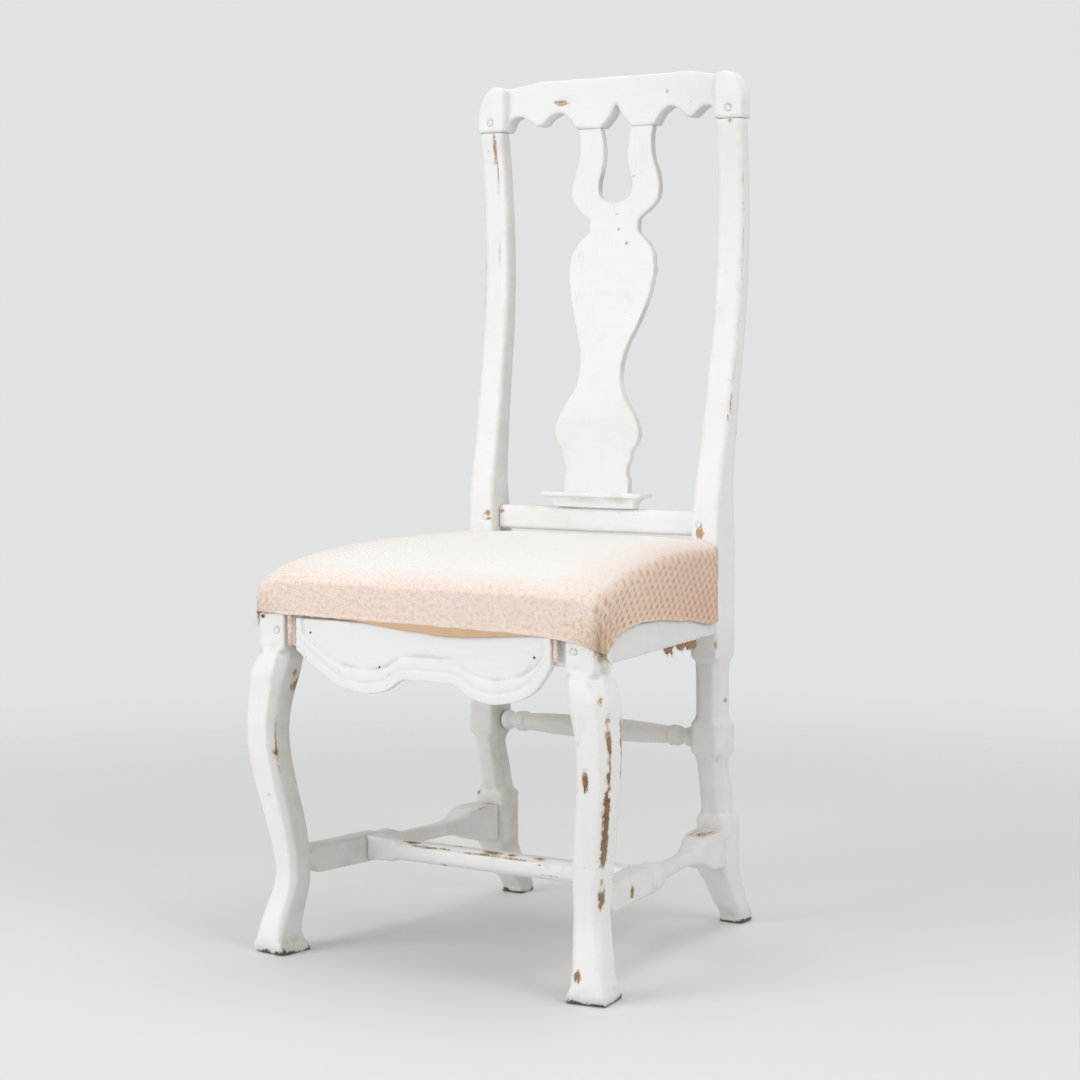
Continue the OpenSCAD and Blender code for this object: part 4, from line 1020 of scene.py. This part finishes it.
def torn_hessian(mat):
    """Rag of hessian hanging behind the right seat rail, torn into three points at its lower edge."""
    low, high = box("torn_hessian")
    ys = np.linspace(low[1], high[1] + 9 * MM, 110)
    share = (ys - ys[0]) / (ys[-1] - ys[0])
    x_at = high[0] + (low[0] - high[0]) * share - 0.8 * MM
    line = np.column_stack([ys, ys * 0, ys * 0])
    tear = unit(np.interp(share, *TORN_EDGE) + noise(line, 0.005, 82) * 0.16)
    rail_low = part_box("right_seat_rail")[0][2]
    a = [(x, y, high[2] - 0.5 * MM) for x, y in zip(x_at, ys)]
    b = [(x + 3.0 * MM * k, y + 1.5 * MM * k, rail_low - (rail_low - low[2] + 1 * MM) * k)
         for x, y, k in zip(x_at, ys, tear)]
    obj = strip("torn_hessian_rag", a, b, 26, 0.9 * MM)
    co = positions(obj.data)
    free = unit((rail_low + 1 * MM - co[:, 2]) / (10 * MM))
    co[:, 0] += free * 2.2 * noise(co, 0.014, 83) * MM
    co[:, 1] += free * 1.5 * noise(co, 0.012, 84) * MM
    move(obj.data, co)
    dressed(obj, mat)
    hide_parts("torn_hessian")
    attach(obj, "root")
    rng = np.random.default_rng(85)
    count = 60
    roots = [(b[i][0], b[i][1], b[i][2] + 1.5 * MM) for i in rng.integers(6, 104, count)]
    headings = rng.normal(0, 0.4, (count, 3)) + np.array((0, 0, -1))
    fringe = strands("hessian_threads", roots, headings, rng.uniform(2, 6, count) * MM, 0.40 * MM, 86)
    fringe.data.materials.append(mat)
    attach(fringe, "root")


# Distance from one strap of the webbing to the next, in metres
STRAP_PITCH = 0.071


def strap_edges(level, axis):
    """Where the CAD straps that are flat at that height start and end, measured across them."""
    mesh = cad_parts["seat_webbing"].data
    spans = []
    for face in mesh.polygons:
        corners = [mesh.vertices[i].co for i in face.vertices]
        if all(abs(c.z - level) < 0.2 * MM for c in corners):
            across = [c[axis] for c in corners]
            spans.append((min(across), max(across)))
    merged = []
    for a, b in sorted(spans):
        if merged and a <= merged[-1][1] + 0.5 * MM:
            merged[-1][1] = max(merged[-1][1], b)
        else:
            merged.append([a, b])
    return merged


def webbing():
    """Straps under the seat, woven over and under each other; each is one band of jute."""
    low, high = box("seat_webbing")
    co = positions(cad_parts["seat_webbing"].data)
    mat = plain_cloth("jute_webbing", (0.24, 0.16, 0.09), (0.55, 0.43, 0.27), 0.0022, 0.0009)
    runs = [(a, b, "y") for a, b in strap_edges(low[2], 0)]
    cross = [(a, b, "x") for a, b in strap_edges(high[2], 1)]
    straps = []
    for number, (a, b, axis) in enumerate(runs + cross):
        if axis == "y":
            line = np.linspace(low[1], high[1], 120)
            ends = [((a, y), (b, y)) for y in line]
        else:
            inside = co[(co[:, 1] > a - MM) & (co[:, 1] < b + MM) & (co[:, 2] > high[2] - 0.2 * MM)]
            reach = np.abs(inside[:, 0]).max()
            line = np.linspace(-reach, reach, 120)
            ends = [((x, a), (x, b)) for x in line]
        over = 0.75 * MM * np.sin(line * math.pi / STRAP_PITCH + number * math.pi)
        heights = (low[2] + high[2]) / 2 + (over if axis == "y" else -over)
        left = [(*p, z) for (p, _), z in zip(ends, heights)]
        right = [(*q, z) for (_, q), z in zip(ends, heights)]
        obj = strip("webbing_strap_%d" % number, left, right, 9, 1.3 * MM)
        dressed(obj, mat)
        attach(obj, "root")
        straps.append(obj)
    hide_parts("seat_webbing")
    return straps


def hessian_sheet(mat):
    """Hessian that closes the seat over the webbing, a little uneven."""
    low, high = box("seat_hessian")
    inset = 0.985
    loop, _, _ = rounded_loop([(np.array(corner) * inset, r) for corner, r in seat_outline()], 5 * MM)
    count, rings = len(loop), 30
    centre = loop.mean(0)
    points = np.vstack([centre + (loop - centre) * r / rings for r in range(1, rings + 1)] + [centre])
    points = np.column_stack([points, np.zeros(len(points))])
    points[:, 2] = (low[2] + high[2]) / 2 + 0.35 * MM * noise(points, 0.04, 91)
    obj = made("hessian_sheet", points, fan_faces(rings, count))
    dressed(thickened(obj, 0.7 * MM, 0), mat)
    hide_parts("seat_hessian")
    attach(obj, "root")
    return obj


# ---------------------------------------------------------------- pegs, nails and tacks
def fasteners(node, mat, voxel, proud):
    """The node's pegs or nails with softened, slightly proud ends."""
    obj = remeshed(copy_of(node + "_worn", [node]), voxel * MM, 2)
    co, n = positions(obj.data), normals(obj.data)
    move(obj.data, co + n * (proud * MM + 0.12 * MM * noise(co, 0.003, 95))[:, None])
    dressed(obj, mat)
    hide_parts(node)
    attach(obj, "root")
    return obj


# Rings of a nail head, from inside the wood outwards: radius and height in mm
NAIL_HEAD = (1.0, -1.5), (2.1, 0.0), (2.3, 0.5), (1.9, 0.95), (1.1, 1.2)


def cover_nails(iron):
    """Nails that hold the cloth over the right leg block and at the left front corner, and at the back of
    the right seat rail.
    """
    rail_low, rail_high = box("right_seat_rail")
    x, front, top = COVER_HIGH[0], COVER_LOW[1], COVER_LOW[2]
    spots = [((x - 9 * MM, front + 1.0 * MM, top - 4 * MM), (0, -1, 0)),
             ((x - 0.6 * MM, front + 14 * MM, top - 4 * MM), (1, 0, 0)),
             ((x - 0.8 * MM, front + 30 * MM, top - 8 * MM), (1, 0, 0)),
             ((-x + 10 * MM, front + 1.0 * MM, top - 3 * MM), (0, -1, 0)),
             ((rail_low[0] + 26.5 * MM, rail_high[1] - 30 * MM, top - 3 * MM), (1, 0.15, 0))]
    points, faces, sides = [], [], 16
    for spot, way in spots:
        way = np.array(way, float) / np.linalg.norm(way)
        across = np.cross(way, (0, 0, 1))
        up = np.cross(across, way)
        base = len(points)
        for r, h in NAIL_HEAD:
            for s in range(sides):
                a = 2 * math.pi * s / sides
                reach = r * (1 + 0.10 * math.sin(3 * a + base)) * MM
                points.append(spot + way * h * MM + (math.cos(a) * across + math.sin(a) * up) * reach)
        faces += tube_faces(base, len(NAIL_HEAD), sides)
    obj = made("cover_nails", points, faces)
    dressed(obj, iron)
    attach(obj, "root")
    return obj


# ---------------------------------------------------------------- build everything
paint = {axis: peeling_paint(axis) for axis in "xyz"}
WOOD = [
    ("left_back_post", "z", 2.3, 3),
    ("right_back_post", "z", 2.3, 3),
    ("crest_rail", "x", 2.0, 3),
    ("back_splat", "z", 1.8, 2),
    ("splat_shoe", "x", 1.6, 1),
    ("lower_back_rail", "x", 2.3, 2),
    ("rear_seat_rail", "x", 3.0, 2),
    ("left_seat_rail", "y", 2.6, 2),
    ("right_seat_rail", "y", 2.4, 2),
    ("front_seat_rail", "x", 3.0, 2),
    ("front_apron", "x", 1.6, 1),
    ("left_front_leg", "z", 2.1, 3),
    ("right_front_leg", "z", 2.0, 3),
    ("left_stretcher", "y", 2.1, 3),
    ("right_stretcher", "y", 2.0, 3),
    ("cross_stretcher", "x", 2.1, 3),
    ("turned_stretcher", "x", 2.0, 2),
]
for number, (node, axis, voxel, rounds) in enumerate(WOOD):
    piece = wood(node, voxel, rounds, seed=100 + 10 * number)
    piece.data.materials.append(paint[axis])

iron, peg = rusty_iron(), peg_end()
for node in ("crest_pegs", "back_rail_pegs", "seat_rail_pegs", "stretcher_pegs"):
    fasteners(node, peg, 0.9, 0.0)
fasteners("apron_nails", iron, 0.5, 0.2)
fasteners("webbing_tacks", iron, 0.5, 0.1)
cover_nails(iron)

cloth = seat_cloth()
hessian = plain_cloth("hessian_cloth", (0.20, 0.10, 0.05), (0.72, 0.44, 0.22), 0.0032, 0.0014)
seat_pad()
cover, loop, out, hem = seat_cover()
cover.data.materials.append(cloth)
threads = hem_threads(loop, out, hem)
loose = plain_cloth("loose_threads", (0.50, 0.31, 0.16), (0.86, 0.68, 0.50), 0.001, 0.0002)
threads.data.materials.append(loose)
for obj in (cover, threads):
    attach(obj, "root")
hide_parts("seat_cover")
old_cover_strip()
side_tabs(cloth)
torn_hessian(hessian)
webbing()
hessian_sheet(hessian)


# ---------------------------------------------------------------- room, light and camera
def studio_floor():
    """Large pale floor that fades into the background far from the chair."""
    bpy.ops.mesh.primitive_circle_add(vertices=96, radius=6, fill_type="NGON", location=(0, 0, -0.0004))
    floor = bpy.context.object
    floor.name = "studio_floor"
    mat, t = shader("studio_floor")
    where = put(t, "TexCoord").outputs["Object"]
    cloud = speck(t, where, 1.3, 3)
    color = blend(t, cloud, (0.79, 0.785, 0.785), (0.815, 0.815, 0.815))
    body = put(t, "BsdfPrincipled",
               {"Base Color": color, "Roughness": 0.6, "Specular IOR Level": 0.3})
    far = put(t, "VectorMath", {0: where}, operation="LENGTH").outputs["Value"]
    clear = put(t, "BsdfTransparent")
    mix = put(t, "MixShader", {0: step(t, far, 0.7, 2.6), 1: body.outputs[0], 2: clear.outputs[0]})
    put(t, "OutputMaterial", {"Surface": mix.outputs[0]})
    floor.data.materials.append(mat)


def surroundings():
    """Pale studio air: one even colour behind the chair, softer light from all round."""
    world = bpy.data.worlds.new("studio")
    bpy.context.scene.world = world
    world.use_nodes = True
    t = world.node_tree
    t.nodes.clear()
    seen = put(t, "Background", {"Color": (0.755, 0.76, 0.765, 1), "Strength": 1.0})
    light = put(t, "Background", {"Color": (0.985, 0.99, 0.985, 1), "Strength": 0.50})
    ray = put(t, "LightPath").outputs["Is Camera Ray"]
    mix = put(t, "MixShader", {0: ray, 1: light.outputs[0], 2: seen.outputs[0]})
    put(t, "OutputWorld", {"Surface": mix.outputs[0]})


def lamp(name, spot, size, power, color):
    data = bpy.data.lights.new(name, "AREA")
    data.shape, data.size, data.energy, data.color = "DISK", size, power, color
    obj = bpy.data.objects.new(name, data)
    bpy.context.scene.collection.objects.link(obj)
    obj.location = spot
    aim = Vector((0, 0, 0.5)) - Vector(spot)
    obj.rotation_euler = aim.to_track_quat("-Z", "Y").to_euler()


def camera():
    data = bpy.data.cameras.new("camera")
    data.lens, data.sensor_width = 81.12, 36
    obj = bpy.data.objects.new("camera", data)
    bpy.context.scene.collection.objects.link(obj)
    obj.location = (1.6955, -2.6173, 0.7372)
    obj.rotation_euler = (math.radians(86.0), 0, math.radians(32.7))
    bpy.context.scene.camera = obj


studio_floor()
surroundings()
lamp("key", (-1.6, -2.9, 1.6), 2.4, 50, (0.99, 0.99, 1.0))
lamp("top", (0.3, 0.2, 3.2), 2.8, 30, (1.0, 1.0, 1.0))
lamp("side", (3.0, -0.7, 1.9), 1.8, 25, (1.0, 0.995, 0.985))
camera()
bpy.context.scene.view_settings.view_transform = "Standard"
bpy.context.scene.view_settings.look = "None"
